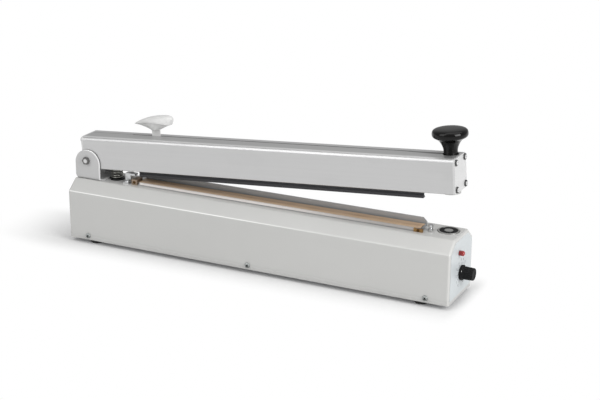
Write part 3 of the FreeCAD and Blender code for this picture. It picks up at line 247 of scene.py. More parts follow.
class Graph:
    """The node tree of a material or the world, with one method that adds any node."""

    def __init__(self, owner: bpy.types.Material | bpy.types.World) -> None:
        """Empties the tree of a new material or world.

        Args:
            owner: The material or world.
        """
        owner.use_nodes = True
        self.owner = owner
        self.tree = owner.node_tree
        self.tree.nodes.clear()

    def node(self, kind: str, settings: dict[str, Any] | None = None,
             sockets: dict[str | int, Any] | None = None) -> bpy.types.Node:
        """Adds a node, sets it, then fills or links its inputs.

        Args:
            kind: The node's type.
            settings: Its properties, such as a Math node's operation.
            sockets: A value, a colour or a link for each named or numbered input.

        Returns:
            The new node.
        """
        node = self.tree.nodes.new(kind)
        for key, setting in (settings or {}).items():
            setattr(node, key, setting)
        for key, wanted in (sockets or {}).items():
            socket = node.inputs[key]
            source = wanted.socket if isinstance(wanted, Value) else wanted
            if isinstance(source, Socket):
                self.tree.links.new(source, socket)
            elif socket.type == "RGBA":
                socket.default_value = (*source[:3], 1.0)
            else:
                socket.default_value = source
        return node

    def math(self, operation: str, first: Value | float, second: Value | float | None = None) -> Value:
        """What a new Math node works out from one number or two."""
        sockets = {0: first} if second is None else {0: first, 1: second}
        return Value(self, self.node("ShaderNodeMath", {"operation": operation}, sockets).outputs[0])

    def place(self, cell: Point, turn: Point = UNTURNED, centre: Point = ORIGIN) -> Socket:
        """The object's own coordinates, moved, turned and counted in cells.

        Args:
            cell: Size of one cell along each axis, in metres.
            turn: Angles by which the pattern is turned, in radians.
            centre: The pattern's zero point.

        Returns:
            The vector output.
        """
        source = self.node("ShaderNodeTexCoord").outputs["Object"]
        node = self.node(
            "ShaderNodeMapping",
            {"vector_type": "TEXTURE"},
            {"Vector": source, "Location": centre, "Rotation": turn, "Scale": cell},
        )
        return node.outputs["Vector"]

    def grain(self, cell: Point, detail: float, turn: Point = UNTURNED) -> Value:
        """Cloudy noise from 0 to 1 whose blots are about one cell large.

        Args:
            cell: Size of a blot along each axis, in metres.
            detail: How many finer layers it has.
            turn: Angles by which it is turned.

        Returns:
            The noise.
        """
        vector = self.place(cell, turn)
        node = self.node("ShaderNodeTexNoise", None, {"Vector": vector, "Scale": 1.0, "Detail": detail})
        return Value(self, node.outputs[0])

    def crystals(self, cell: Point) -> tuple[Value, Socket]:
        """Voronoi cells of a size in metres: the distance to each cell's point, and a colour per cell."""
        node = self.node("ShaderNodeTexVoronoi", None, {"Vector": self.place(cell), "Scale": 1.0})
        return Value(self, node.outputs["Distance"]), node.outputs["Color"]

    def axes(self, centre: Point = ORIGIN, turn: Point = UNTURNED) -> list[Value]:
        """The object's coordinates as three numbers, in metres, from a centre and along turned axes."""
        node = self.node("ShaderNodeSeparateXYZ", None, {0: self.place(even(1.0), turn, centre)})
        return [Value(self, output) for output in node.outputs]

    def blend(self, share: Value, low: Any, high: Any) -> Socket:
        """A colour between two colours, by its share of the second."""
        sockets = {MIX_SHARE: share, MIX_FIRST: low, MIX_SECOND: high}
        return self.node("ShaderNodeMix", {"data_type": "RGBA"}, sockets).outputs[MIX_RESULT]

    def bump(self, height: Value, depth: float) -> Socket:
        """A normal tilted by a height from 0 to 1, a depth in metres standing for 1."""
        node = self.node("ShaderNodeBump", None, {"Height": height, "Distance": depth, "Strength": 1.0})
        return node.outputs["Normal"]

    def shade(self, sockets: dict[str, Any]) -> None:
        """Ends the tree in a Principled shader with these values and links."""
        shader = self.node("ShaderNodeBsdfPrincipled", None, sockets)
        self.node("ShaderNodeOutputMaterial", None, {"Surface": shader.outputs[0]})


@dataclass(frozen=True)
class Noise:
    """Cloudy noise: the size of its blots, its finer layers and, for patches, the span in which they fill."""

    cell: Point
    detail: float
    span: Span | None = None

    def on(self, graph: Graph, turn: Point = UNTURNED) -> Value:
        """The noise on a material, from 0 to 1."""
        noise = graph.grain(self.cell, self.detail, turn)
        return noise if self.span is None else noise.rise(*self.span)


@dataclass(frozen=True)
class Finish:
    """What all finishes share: a name, a main colour and a roughness.

    In the finishes, a field ending in share says how strongly a pattern shows, one in tint is a factor on
    the main colour, one in rough is added to the roughness, and one in ends is where a step starts and ends.
    """

    name: str
    colour: Colour
    rough: float

    def material(self) -> bpy.types.Material:
        """The finish's material, drawn when it is first asked for.

        Returns:
            The material.
        """
        ready = bpy.data.materials.get(self.name)
        if ready is None:
            ready = bpy.data.materials.new(self.name)
            self.draw(Graph(ready))
        return ready

    def draw(self, graph: Graph) -> None:
        """Draws the finish's nodes into an empty tree."""
        raise NotImplementedError

    def mark(self, graph: Graph, body: Socket) -> Socket:
        """The colour with the marks of one kind of piece, none on a plain one."""
        return body

    def tint(self, factor: float) -> Colour:
        """The main colour made lighter or darker by a factor."""
        return tuple(min(1.0, part * factor) for part in self.colour)

    def between(self, graph: Graph, share: Value, tints: Span) -> Socket:
        """The main colour between two tints of itself."""
        return graph.blend(share, self.tint(tints[0]), self.tint(tints[1]))

    def coat(self, piece: bpy.types.Object) -> None:
        """Gives a piece this finish alone."""
        piece.data.materials.clear()
        piece.data.materials.append(self.material())


@dataclass(frozen=True)
class PowderCoat(Finish):
    """Oven-cured paint: a faint peel, slow shifts of shade, and dust low on the sides."""

    clouds: Noise = Noise(even(0.09), 3.0)
    cloud_tints: Span = (0.965, 1.03)
    specks: Noise = Noise(even(0.0007), 1.0, (0.62, 0.8))
    speck_share: float = 0.25
    speck_tint: float = 0.82
    wipes: Noise = Noise((0.11, 0.02, 0.014), 4.0, (0.48, 0.72))
    wipe_rough: float = 0.02
    dust: Noise = Noise((0.012, 0.012, 0.005), 3.0)
    dust_ends: Span = (0.006, 0.016)
    dust_share: float = 0.5
    dust_tint: float = 0.62
    dust_rough: float = 0.15
    shine: float = 0.6
    peel: Noise = Noise(even(0.0014), 2.0)
    peel_depth: float = 0.000012

    def draw(self, graph: Graph) -> None:
        """Draws the paint.

        Args:
            graph: The empty node tree.
        """
        dust = (1.0 - graph.axes()[2].rise(*self.dust_ends)) * self.dust.on(graph)
        body = self.between(graph, self.clouds.on(graph), self.cloud_tints)
        flecked = graph.blend(self.specks.on(graph) * self.speck_share, body, self.tint(self.speck_tint))
        dusted = graph.blend(dust * self.dust_share, flecked, self.tint(self.dust_tint))
        graph.shade({
            "Base Color": self.mark(graph, dusted),
            "Roughness": self.rough + self.wipes.on(graph) * self.wipe_rough + dust * self.dust_rough,
            "Specular IOR Level": self.shine,
            "Normal": graph.bump(self.peel.on(graph), self.peel_depth),
        })


@dataclass(frozen=True)
class FoldedPaint(PowderCoat):
    """The housing's paint, with a painted highlight along the folds of its sheet."""

    side: float = 0.0405
    right_end: float = -LEFT_END - 0.0099
    edge_ends: Span = (0.00128, 0.00048)
    fold_z: float = 0.072
    fold_ends: Span = (0.00032, 0.0008)
    fade_ends: Span = (-0.06, 0.12)
    fade: float = 0.85
    wear: Noise = Noise(even(0.03), 3.0)
    wear_share: float = 0.35
    least_wear: float = 0.55
    rubbed: Colour = tone(240, 240, 238)

    def mark(self, graph: Graph, body: Socket) -> Socket:
        """Paints a highlight on the long folds below the shoulders and the upright folds of the right end.

        Args:
            graph: The node tree.
            body: The plain colour.

        Returns:
            The marked colour.
        """
        along, across, up = graph.axes()
        start, full = self.edge_ends
        outer = abs(across).rise(self.side - start, self.side - full)
        end_fold_highlight = along.rise(self.right_end - start, self.right_end - full)
        # Painted highlight along the folds, weaker towards the right along the long folds and patchy by noise
        long_fold_highlight = 1.0 - abs(up - self.fold_z).rise(*self.fold_ends)
        faded = 1.0 - along.rise(*self.fade_ends) * self.fade
        wear = self.least_wear + self.wear_share * self.wear.on(graph)
        return graph.blend((long_fold_highlight * faded).most(end_fold_highlight) * outer * wear, body, self.rubbed)


@dataclass(frozen=True)
class HingePaint(PowderCoat):
    """The hinge bracket's paint, with painted shade on the ears' inner faces and a painted highlight on the
    ears' arched edges.
    """

    inner_ends: Span = (0.0211, 0.0217)
    floor_ends: Span = (0.0886, 0.0906)
    cover: Noise = Noise((0.01, 0.01, 0.006), 3.0)
    least_cover: float = 0.75
    grease: Colour = tone(30, 29, 28)
    arch: Point = (LEFT_END + 0.0214, 0.0, 0.1084)
    arch_ends: Span = (0.0174, 0.01852)
    bare_share: float = 0.8
    rubbed: Colour = tone(236, 236, 236)

    def mark(self, graph: Graph, body: Socket) -> Socket:
        """Paints shade on the ears' inner faces and a highlight on the ears' arched edges.

        Args:
            graph: The node tree.
            body: The plain colour.

        Returns:
            The marked colour.
        """
        _, across, up = graph.axes()
        # Painted shade on the ears' inner faces between them, under the arm, patchy by noise
        inside = 1.0 - abs(across).rise(*self.inner_ends)
        cover = self.least_cover + (1.0 - self.least_cover) * self.cover.on(graph)
        with_shade = graph.blend(inside * up.rise(*self.floor_ends) * cover, body, self.grease)
        # Painted highlight on the ears' arched edges, outside the inner faces
        along, _, above = graph.axes(self.arch)
        bare = along.most(0.0).reach(above.most(0.0)).rise(*self.arch_ends)
        return graph.blend(bare * (1.0 - inside) * self.bare_share, with_shade, self.rubbed)


@dataclass(frozen=True)
class DrawnMetal(Finish):
    """Extruded or ground metal: fine lines along one direction, and a few wider bands."""

    lines: Point = (0.25, 0.0006, 0.0006)
    bands: Point = (0.6, 0.004, 0.004)
    turn: Point = UNTURNED
    contrast: float = 0.06
    metal: float = 1.0
    line_share: float = 0.6
    streak_ends: Span = (0.3, 0.7)
    line_rough: float = 0.12
    line_depth: float = 0.0000022
    handled: Noise = Noise((0.05, 0.03, 0.03), 4.0, (0.5, 0.78))
    handled_share: float = 0.2
    handled_tint: float = 0.88
    handled_rough: float = 0.05

    def draw(self, graph: Graph) -> None:
        """Draws the metal.

        Args:
            graph: The empty node tree.
        """
        lines = Noise(self.lines, detail=3.0).on(graph, self.turn)
        bands = Noise(self.bands, detail=2.0).on(graph, self.turn)
        handled = self.handled.on(graph, self.turn)
        streak = (lines * self.line_share + bands * (1.0 - self.line_share)).rise(*self.streak_ends)
        body = self.between(graph, streak, (1.0 - self.contrast, 1.0 + self.contrast))
        touched = graph.blend(handled * self.handled_share, body, self.tint(self.handled_tint))
        graph.shade({
            "Base Color": self.mark(graph, touched),
            "Metallic": self.metal,
            "Roughness": self.rough + (lines - 0.5) * self.line_rough + handled * self.handled_rough,
            "Normal": graph.bump(lines, self.line_depth),
        })


@dataclass(frozen=True)
class ArmMetal(DrawnMetal):
    """The arm's metal, with painted shade along the slot on its top and painted highlights behind the slot
    and beside its front edge.
    """

    top_rise: float = 0.0314
    skin: float = 0.0002
    slot_y: float = 0.006
    slot_ends: Span = (0.00055, 0.00165)
    slot_share: float = 0.4
    slot_tint: float = 0.2
    deep_ends: Span = (0.43, 0.5)
    deep_shift: float = 0.002
    deep_spread: float = 1.8
    deep_share: float = 0.55
    strip_ends: Span = (0.007, 0.009)
    strip_depth: float = 0.002
    strip_share: float = 0.7
    strip_tint: float = 1.2
    band_top_ends: Span = (0.0107, 0.0173)
    band_front_ends: Span = (0.0269, 0.0296)
    front_ends: Span = (0.02, 0.0202)
    front_share: float = 0.7
    band_tint: float = 1.62

    def mark(self, graph: Graph, body: Socket) -> Socket:
        """Paints shade along the slot's line, widening before the handle into the handle's shadow and dark
        reflection, and paints highlights on the strip behind it and the front edge.

        Args:
            graph: The node tree.
            body: The plain colour.

        Returns:
            The marked colour.
        """
        along, across, up = graph.axes(ARM.pin, self.turn)
        upper = up.rise(self.top_rise - self.skin, self.top_rise + self.skin)
        # Painted shade along the slot on the top, widening near the handle into the handle's painted shadow
        # and dark reflection
        deep = along.rise(*self.deep_ends)
        off = abs(across - self.slot_y + deep * self.deep_shift) / (1.0 + deep * self.deep_spread)
        slot = (1.0 - off.rise(*self.slot_ends)) * upper * (self.slot_share + deep * self.deep_share)
        # Painted highlight: a lighter strip on the top behind the slot
        behind = across.rise(*self.strip_ends) * up.rise(self.top_rise - self.strip_depth, self.top_rise)
        pale = graph.blend(behind * self.strip_share, body, self.tint(self.strip_tint))
        # Painted highlight: a paler band beside the front edge, on the top and on the front face
        forward = 0.0 - across
        on_top = forward.rise(*self.band_top_ends) * upper
        on_front = up.rise(*self.band_front_ends) * forward.rise(*self.front_ends) * self.front_share
        edge_highlight = graph.blend(on_top.most(on_front), pale, self.tint(self.band_tint))
        return graph.blend(slot, edge_highlight, self.tint(self.slot_tint))


@dataclass(frozen=True)
class StripMetal(DrawnMetal):
    """The clamp strip's metal, darker towards the handle's end."""

    dull_ends: Span = (LEFT_END + 0.28, LEFT_END + 0.47)
    dull_share: float = 0.9
    dull_tint: float = 0.52

    def mark(self, graph: Graph, body: Socket) -> Socket:
        """The colour, darker in the strip's right part."""
        dull = graph.axes()[0].rise(*self.dull_ends)
        return graph.blend(dull * self.dull_share, body, self.tint(self.dull_tint))


@dataclass(frozen=True)
class PlatedSteel(Finish):
    """Plated steel: small crystals, tarnished patches and a few fine scratches."""

    tarnish: Colour = tone(120, 112, 98)
    worn: float = 0.35
    crystal: float = 0.0009
    crystal_ends: Span = (0.1, 0.7)
    crystal_share: float = 0.5
    crystal_tints: Span = (1.06, 0.86)
    patches: Noise = Noise(even(0.006), 4.0, (0.5, 0.75))
    patch_share: float = 0.05
    patch_rough: float = 0.14
    scratches: Noise = Noise((0.004, 0.00012, 0.0025), 2.0, (0.6, 0.78))
    scratch_rough: float = 0.1
    relief: float = 0.5
    depth: float = 0.000006

    def draw(self, graph: Graph) -> None:
        """Draws the plating.

        Args:
            graph: The empty node tree.
        """
        spread, hue = graph.crystals(even(self.crystal))
        patches = self.patches.on(graph)
        scratches = self.scratches.on(graph)
        plate = self.between(graph, spread.rise(*self.crystal_ends) * self.crystal_share, self.crystal_tints)
        tinted = graph.blend(patches * self.patch_share, plate, hue)
        graph.shade({
            "Base Color": graph.blend(patches * self.worn, tinted, self.tarnish),
            "Metallic": 1.0,
            "Roughness": self.rough + patches * self.patch_rough + scratches * self.scratch_rough,
            "Normal": graph.bump(spread * self.relief + scratches * self.relief, self.depth),
        })


@dataclass(frozen=True)
class GreasedHead(Finish):
    """What bolt and screw heads share: bright metal in the middle, and painted shade with a ragged edge round
    it.
    """

    bright: float = 0.0022
    rim_width: float = 0.0014
    grease: Colour = tone(58, 56, 54)
    grease_rough: float = 0.2
    blots: Noise = Noise(even(0.0012), 3.0)
    ragged: float = 0.0012
    depth: float = 0.000006

    def outward(self, aside: Value, rise: Value, blots: Value) -> Value:
        """How far out on a head a point lies, with the blots' raggedness."""
        return aside.reach(rise) + (blots - 0.5) * self.ragged

    def rim(self, away: Value) -> Value:
        """How much painted shade a point takes, by how far out on the head it lies."""
        # The rim is painted shade round the head's edge
        return away.rise(self.bright, self.bright + self.rim_width)


@dataclass(frozen=True)
class GreasedPin(GreasedHead):
    """The hinge pin: a bolt head with turning marks and painted shade round its edge."""

    centre: Point = ORIGIN
    blots: Noise = Noise(even(0.0015), 3.0)
    lathe_pitch: float = FULL_TURN / 9000.0
    lathe_share: float = 0.4
    lathe_tint: float = 0.8
    lathe_rough: float = 0.05
    grease_share: float = 0.85
    less_metal: float = 0.5

    def draw(self, graph: Graph) -> None:
        """Draws the bolt.

        Args:
            graph: The empty node tree.
        """
        along, _, up = graph.axes(self.centre)
        # Painted shade: a dark ring round the head's edge
        rim = self.rim(self.outward(along, up, self.blots.on(graph)))
        turned = along.reach(up).wave(self.lathe_pitch)
        body = graph.blend(turned * self.lathe_share, self.colour, self.tint(self.lathe_tint))
        graph.shade({
            "Base Color": graph.blend(rim * self.grease_share, body, self.grease),
            "Metallic": 1.0 - rim * self.less_metal,
            "Roughness": self.rough + rim * self.grease_rough + turned * self.lathe_rough,
            "Normal": graph.bump(turned, self.depth),
        })


@dataclass(frozen=True)
class RimmedScrew(GreasedHead):
    """The arm's end screws: bright heads with painted shade in a dark rim where they sink into the plate."""

    turn: Point = UNTURNED
    spread: float = 0.0151
    middle: float = 0.010
    half_rise: float = 0.0168
    bright: float = 0.0023
    rim_width: float = 0.0006
    ragged: float = 0.0008
    depth: float = 0.000004
    grease: Colour = tone(40, 40, 40)
    grease_share: float = 0.92
    grease_rough: float = 0.15
    metal: float = 0.3
    grease_metal: float = 0.4
    fine: Noise = Noise(even(0.0004), 2.0)
    fine_share: float = 0.4
    fine_tint: float = 0.8
    fine_rough: float = 0.1

    def draw(self, graph: Graph) -> None:
        """Draws the screws.

        Args:
            graph: The empty node tree.
        """
        _, across, up = graph.axes(ARM.pin, self.turn)
        aside = abs(across) - self.spread
        rise = abs(up - self.middle) - self.half_rise
        # Painted shade in a dark rim round each head
        rim = self.rim(self.outward(aside, rise, self.blots.on(graph)))
        fine = self.fine.on(graph)
        body = graph.blend(fine * self.fine_share, self.colour, self.tint(self.fine_tint))
        graph.shade({
            "Base Color": graph.blend(rim * self.grease_share, body, self.grease),
            "Metallic": self.metal + rim * self.grease_metal,
            "Roughness": self.rough + rim * self.grease_rough + fine * self.fine_rough,
            "Normal": graph.bump(fine, self.depth),
        })


@dataclass(frozen=True)
class CrossScrew(GreasedHead):
    """The housing's side screws: bright heads with painted shade in the cross recess, round the rim and over
    the lower part.
    """

    places: tuple[float, ...] = (0.030, 0.275, 0.520)
    height: float = 0.012
    stroke: float = 0.00055
    recess_ends: Span = (0.0019, 0.0022)
    bright: float = 0.0021
    rim_width: float = 0.0005
    rim_share: float = 0.6
    under_ends: Span = (-0.00095, 0.00076)
    under_share: float = 0.75
    ragged: float = 0.0004
    depth: float = 0.00001
    grease: Colour = tone(26, 29, 28)
    metal: float = 0.5

    def draw(self, graph: Graph) -> None:
        """Draws the screws.

        Args:
            graph: The empty node tree.
        """
        along, _, up = graph.axes()
        aside = abs(along - (LEFT_END + self.places[0]))
        for place in self.places[1:]:
            aside = aside.least(abs(along - (LEFT_END + place)))
        rise = up - self.height
        blots = self.blots.on(graph)
        away = self.outward(aside, rise, blots)
        # Painted shade in the cross recess, round the rim and over the lower part of each head
        cross = 1.0 - abs(aside - abs(rise)).rise(self.stroke, self.stroke * 2.0)
        recess = cross * (1.0 - away.rise(*self.recess_ends))
        under = 1.0 - rise.rise(*self.under_ends)
        shade_mask = recess.most(self.rim(away) * self.rim_share).most(under * self.under_share)
        graph.shade({
            "Base Color": graph.blend(shade_mask, self.colour, self.grease),
            "Metallic": self.metal,
            "Roughness": self.rough + shade_mask * self.grease_rough,
            "Normal": graph.bump(blots, self.depth),
        })


@dataclass(frozen=True)
class MouldedPlastic(Finish):
    """Moulded plastic: slow flow marks, a fine spark-eroded grain, and paler, rougher places worn by rubbing.
    """

    flow: float = 0.05
    flow_marks: Noise = Noise((0.02, 0.012, 0.012), 3.0)
    grain: float = 0.0005
    grain_depth: float = 0.000006
    grain_rough: float = 0.05
    rubbed: Noise = Noise(even(0.009), 4.0, (0.5, 0.76))
    rubbed_share: float = 0.3
    rubbed_tint: float = 1.12
    rubbed_rough: float = 0.07
    shine: float = 0.5
    soft: float = 0.0
    soft_depth: float = 0.003

    def draw(self, graph: Graph) -> None:
        """Draws the plastic.

        Args:
            graph: The empty node tree.
        """
        fine = Noise(even(self.grain), detail=2.0).on(graph)
        rubbed = self.rubbed.on(graph)
        body = self.between(graph, self.flow_marks.on(graph), (1.0 - self.flow, 1.0 + self.flow))
        sockets = {
            "Base Color": graph.blend(rubbed * self.rubbed_share, body, self.tint(self.rubbed_tint)),
            "Roughness": self.rough + rubbed * self.rubbed_rough + (fine - 0.5) * self.grain_rough,
            "Specular IOR Level": self.shine,
            "Normal": graph.bump(fine, self.grain_depth),
        }
        if self.soft:
            sockets["Subsurface Weight"] = self.soft
            sockets["Subsurface Radius"] = even(self.soft_depth)
        graph.shade(sockets)


@dataclass(frozen=True)
class MouldedRubber(Finish):
    """Dark rubber: a dull bloom, pale dust in its grain and flow lines along its length."""

    run: Point = (0.12, 0.002, 0.0012)
    turn: Point = UNTURNED
    run_tints: Span = (0.85, 1.2)
    run_rough: float = 0.08
    run_relief: float = 0.7
    blooms: Noise = Noise((0.02, 0.008, 0.008), 4.0, (0.45, 0.75))
    bloom: Colour = tone(92, 90, 88)
    bloom_share: float = 0.16
    bloom_rough: float = 0.12
    specks: Noise = Noise(even(0.0004), 1.0, (0.62, 0.82))
    dust: Colour = tone(170, 168, 164)
    dust_share: float = 0.12
    dust_relief: float = 0.3
    depth: float = 0.00003
    shine: float = 0.32

    def draw(self, graph: Graph) -> None:
        """Draws the rubber.

        Args:
            graph: The empty node tree.
        """
        run = Noise(self.run, detail=3.0).on(graph, self.turn)
        specks = self.specks.on(graph)
        blooms = self.blooms.on(graph)
        bloomed = graph.blend(blooms * self.bloom_share, self.between(graph, run, self.run_tints), self.bloom)
        graph.shade({
            "Base Color": graph.blend(specks * self.dust_share, bloomed, self.dust),
            "Roughness": self.rough + blooms * self.bloom_rough - run * self.run_rough,
            "Specular IOR Level": self.shine,
            "Normal": graph.bump(run * self.run_relief + specks * self.dust_relief, self.depth),
        })


@dataclass(frozen=True)
class CoatedCloth(Finish):
    """Glass cloth with a non-stick coat: a plain weave, and a scorched line over the heating band."""

    pitch: float = 0.0007
    weave_tints: Span = (0.86, 1.08)
    weave_rough: float = 0.1
    weave_depth: float = 0.00003
    blotches: Noise = Noise((0.03, 0.006, 0.006), 4.0)
    stain_ends: Span = (0.45, 0.8)
    stain_share: float = 0.3
    stain_tint: float = 0.78
    band_y: float = -0.0041
    band_ends: Span = (0.00175, 0.004)
    band_rough: float = 0.06
    scorch: Colour = tone(128, 88, 52)
    scorch_ends: Span = (0.35, 0.7)
    scorch_share: float = 0.45
    least_scorch: float = 0.35
    shine: float = 0.5

    def draw(self, graph: Graph) -> None:
        """Draws the cloth.

        Args:
            graph: The empty node tree.
        """
        along, across, _ = graph.axes()
        turn = FULL_TURN / self.pitch
        weave = (along * turn).sine() * (across * turn).sine() * 0.5 + 0.5
        blotches = self.blotches.on(graph)
        near = 1.0 - abs(across - self.band_y).rise(*self.band_ends)
        burnt = self.least_scorch + (1.0 - self.least_scorch) * blotches.rise(*self.scorch_ends)
        threads = self.between(graph, weave, self.weave_tints)
        stains = blotches.rise(*self.stain_ends) * self.stain_share
        stained = graph.blend(stains, threads, self.tint(self.stain_tint))
        graph.shade({
            "Base Color": graph.blend(near * burnt * self.scorch_share, stained, self.scorch),
            "Roughness": self.rough + weave * self.weave_rough - near * self.band_rough,
            "Specular IOR Level": self.shine,
            "Normal": graph.bump(weave, self.weave_depth),
        })


@dataclass(frozen=True)
class LampGlass(Finish):
    """Red lamp plastic: ring facets round its axis, deeper red at its foot."""

    centre: Point = ORIGIN
    ring: float = 0.0009
    ring_rough: float = 0.06
    ring_depth: float = 0.00004
    foot_ends: Span = (0.0, 0.006)
    foot_tints: Span = (0.55, 1.1)
    swirl: Noise = Noise(even(0.002), 3.0)
    swirl_colour: Colour = tone(176, 34, 30)
    swirl_share: float = 0.25
    shine: float = 0.6
    lacquer: float = 0.5
    soft: float = 0.15
    soft_depth: Point = (0.002, 0.0004, 0.0003)

    def draw(self, graph: Graph) -> None:
        """Draws the lens.

        Args:
            graph: The empty node tree.
        """
        out, side, up = graph.axes(self.centre)
        rings = side.reach(up).wave(self.ring)
        body = self.between(graph, out.rise(*self.foot_ends), self.foot_tints)
        graph.shade({
            "Base Color": graph.blend(self.swirl.on(graph) * self.swirl_share, body, self.swirl_colour),
            "Roughness": self.rough + rings * self.ring_rough,
            "Specular IOR Level": self.shine,
            "Coat Weight": self.lacquer,
            "Subsurface Weight": self.soft,
            "Subsurface Radius": self.soft_depth,
            "Normal": graph.bump(rings, self.ring_depth),
        })


@dataclass(frozen=True)
class PanelFilm(Finish):
    """Printed polyester film: a fine satin texture and faint wipe marks."""

    fine: Noise = Noise(even(0.0003), 2.0)
    fine_rough: float = 0.08
    fine_depth: float = 0.000003
    wipes: Noise = Noise((0.02, 0.012, 0.005), 4.0, (0.5, 0.78))
    wipe_share: float = 0.15
    wipe_tint: float = 0.9
    wipe_rough: float = 0.08
    clouds: Noise = Noise(even(0.03), 2.0)
    cloud_tints: Span = (0.98, 1.02)
    shine: float = 0.4

    def draw(self, graph: Graph) -> None:
        """Draws the film.

        Args:
            graph: The empty node tree.
        """
        fine = self.fine.on(graph)
        wipes = self.wipes.on(graph)
        body = self.between(graph, self.clouds.on(graph), self.cloud_tints)
        graph.shade({
            "Base Color": graph.blend(wipes * self.wipe_share, body, self.tint(self.wipe_tint)),
            "Roughness": self.rough + fine * self.fine_rough + wipes * self.wipe_rough,
            "Specular IOR Level": self.shine,
            "Normal": graph.bump(fine, self.fine_depth),
        })


@dataclass(frozen=True)
class Layered(Finish):
    """Stacked sheets or wound wire: thin stripes of two colours across one direction."""

    second: Colour
    axis: Axis
    pitch: float = 0.0008
    stripe_rough: float = 0.12
    stripe_depth: float = 0.00008
    wander: Noise = Noise(even(0.01), 2.0)
    wander_share: float = 0.3
    patches: Noise = Noise(even(0.008), 4.0, (0.45, 0.75))
    patch_share: float = 0.25
    patch_tint: float = 0.6
    patch_rough: float = 0.1

    def draw(self, graph: Graph) -> None:
        """Draws the stripes.

        Args:
            graph: The empty node tree.
        """
        run = graph.axes()[self.axis.value]
        stripe = (run + self.wander.on(graph) * (self.pitch * self.wander_share)).wave(self.pitch)
        patches = self.patches.on(graph)
        body = graph.blend(stripe, self.colour, self.second)
        graph.shade({
            "Base Color": graph.blend(patches * self.patch_share, body, self.tint(self.patch_tint)),
            "Metallic": 1.0,
            "Roughness": self.rough + stripe * self.stripe_rough + patches * self.patch_rough,
            "Normal": graph.bump(stripe, self.stripe_depth),
        })


@dataclass(frozen=True)
class BoardLacquer(Finish):
    """Circuit board lacquer: paler tracks on a grid under the lacquer, and tinned spots."""

    track: Colour = tone(62, 132, 78)
    track_turn: float = 900.0
    branches: Noise = Noise(even(0.012), 1.0)
    row_bend: float = 6.0
    row_ends: Span = (0.55, 0.7)
    column_bend: float = 5.0
    column_ends: Span = (0.6, 0.75)
    track_rough: float = 0.06
    tin: Colour = tone(190, 190, 182)
    pad_cell: float = 0.005
    pad_ends: Span = (0.16, 0.22)
    depth: float = 0.00004

    def draw(self, graph: Graph) -> None:
        """Draws the board.

        Args:
            graph: The empty node tree.
        """
        along, across, _ = graph.axes()
        branch = self.branches.on(graph)
        rows = (along * self.track_turn + branch * self.row_bend).sine().rise(*self.row_ends)
        columns = (across * self.track_turn - branch * self.column_bend).sine().rise(*self.column_ends)
        tracks = rows.most(columns)
        spread, _ = graph.crystals(even(self.pad_cell))
        pads = 1.0 - spread.rise(*self.pad_ends)
        laid = graph.blend(tracks, self.colour, self.track)
        graph.shade({
            "Base Color": graph.blend(pads, laid, self.tin),
            "Metallic": pads,
            "Roughness": self.rough + tracks * self.track_rough,
            "Normal": graph.bump(tracks.most(pads), self.depth),
        })


HOUSING_PAINT = FoldedPaint("finish_housing_paint", tone(188, 188, 186), 0.24)
TRAY_ZINC = PlatedSteel("finish_tray_zinc", tone(176, 178, 180), 0.42, crystal=0.006, worn=0.2)
FOOT_RUBBER = MouldedRubber("finish_foot_rubber", tone(34, 34, 34), 0.72, run=even(0.006))
SCREW_ZINC = PlatedSteel("finish_screw_zinc", tone(206, 207, 208), 0.3)
SIDE_SCREW = CrossScrew("finish_side_screw", tone(226, 231, 229), 0.25)
END_SCREW = RimmedScrew("finish_end_screw", tone(232, 232, 232), 0.3, turn=ARM.turn())
HINGE_PAINT = HingePaint("finish_hinge_paint", tone(185, 185, 185), 0.24)
PIN_STEEL = GreasedPin("finish_pin_steel", tone(214, 214, 214), 0.28, centre=ARM.pin)
SPRING_STEEL = PlatedSteel("finish_spring_steel", tone(150, 150, 145), 0.3, worn=0.4)
ARM_SATIN = ArmMetal("finish_arm_satin", tone(197, 197, 197), 0.33, turn=ARM.turn(), contrast=0.02,
                     metal=0.75)
PLATE_SATIN = DrawnMetal("finish_plate_satin", tone(205, 205, 205), 0.42, lines=(0.0008, 0.0008, 0.05),
                         bands=(0.004, 0.004, 0.1), turn=ARM.turn(), contrast=0.03, metal=0.3)
RAIL_SATIN = DrawnMetal("finish_rail_satin", tone(171, 172, 173), 0.38, metal=0.4)
BAR_MILLED = DrawnMetal("finish_bar_milled", tone(186, 187, 188), 0.32, contrast=0.08)
STRIP_BRIGHT = StripMetal("finish_strip_bright", tone(224, 219, 215), 0.34, contrast=0.04, metal=0.25)
BAND_ALLOY = DrawnMetal("finish_band_alloy", tone(150, 140, 130), 0.34, lines=(0.1, 0.0004, 0.0004),
                        contrast=0.1)
CLOTH_TAN = CoatedCloth("finish_cloth_tan", tone(190, 162, 132), 0.4)
BRASS = PlatedSteel("finish_brass", tone(160, 126, 82), 0.45, tarnish=tone(84, 60, 38), crystal=0.0006,
                    worn=0.7)
BRASS_DULL = PlatedSteel("finish_brass_dull", tone(164, 146, 128), 0.5, tarnish=tone(92, 76, 62),
                         crystal=0.0006, worn=0.7)
BRONZE_DARK = PlatedSteel("finish_bronze_dark", tone(96, 70, 38), 0.4, tarnish=tone(48, 34, 20),
                          crystal=0.0005)
NYLON_WHITE = MouldedPlastic("finish_nylon_white", tone(226, 226, 222), 0.42, soft=0.1)
KNOB_PALE = MouldedPlastic("finish_knob_pale", tone(206, 206, 205), 0.4, flow=0.02, soft=0.05)
PLASTIC_GREY = MouldedPlastic("finish_plastic_grey", tone(150, 150, 148), 0.42)
PLASTIC_BLACK = MouldedPlastic("finish_plastic_black", tone(22, 22, 23), 0.38, flow=0.15, shine=0.35)
KNOB_BLACK = MouldedPlastic("finish_knob_black", tone(10, 9, 9), 0.12, flow=0.15, grain_depth=0.000001,
                            shine=0.25)
TIMER_BLACK = MouldedPlastic("finish_timer_black", tone(11, 12, 13), 0.66, flow=0.12, shine=0.26)
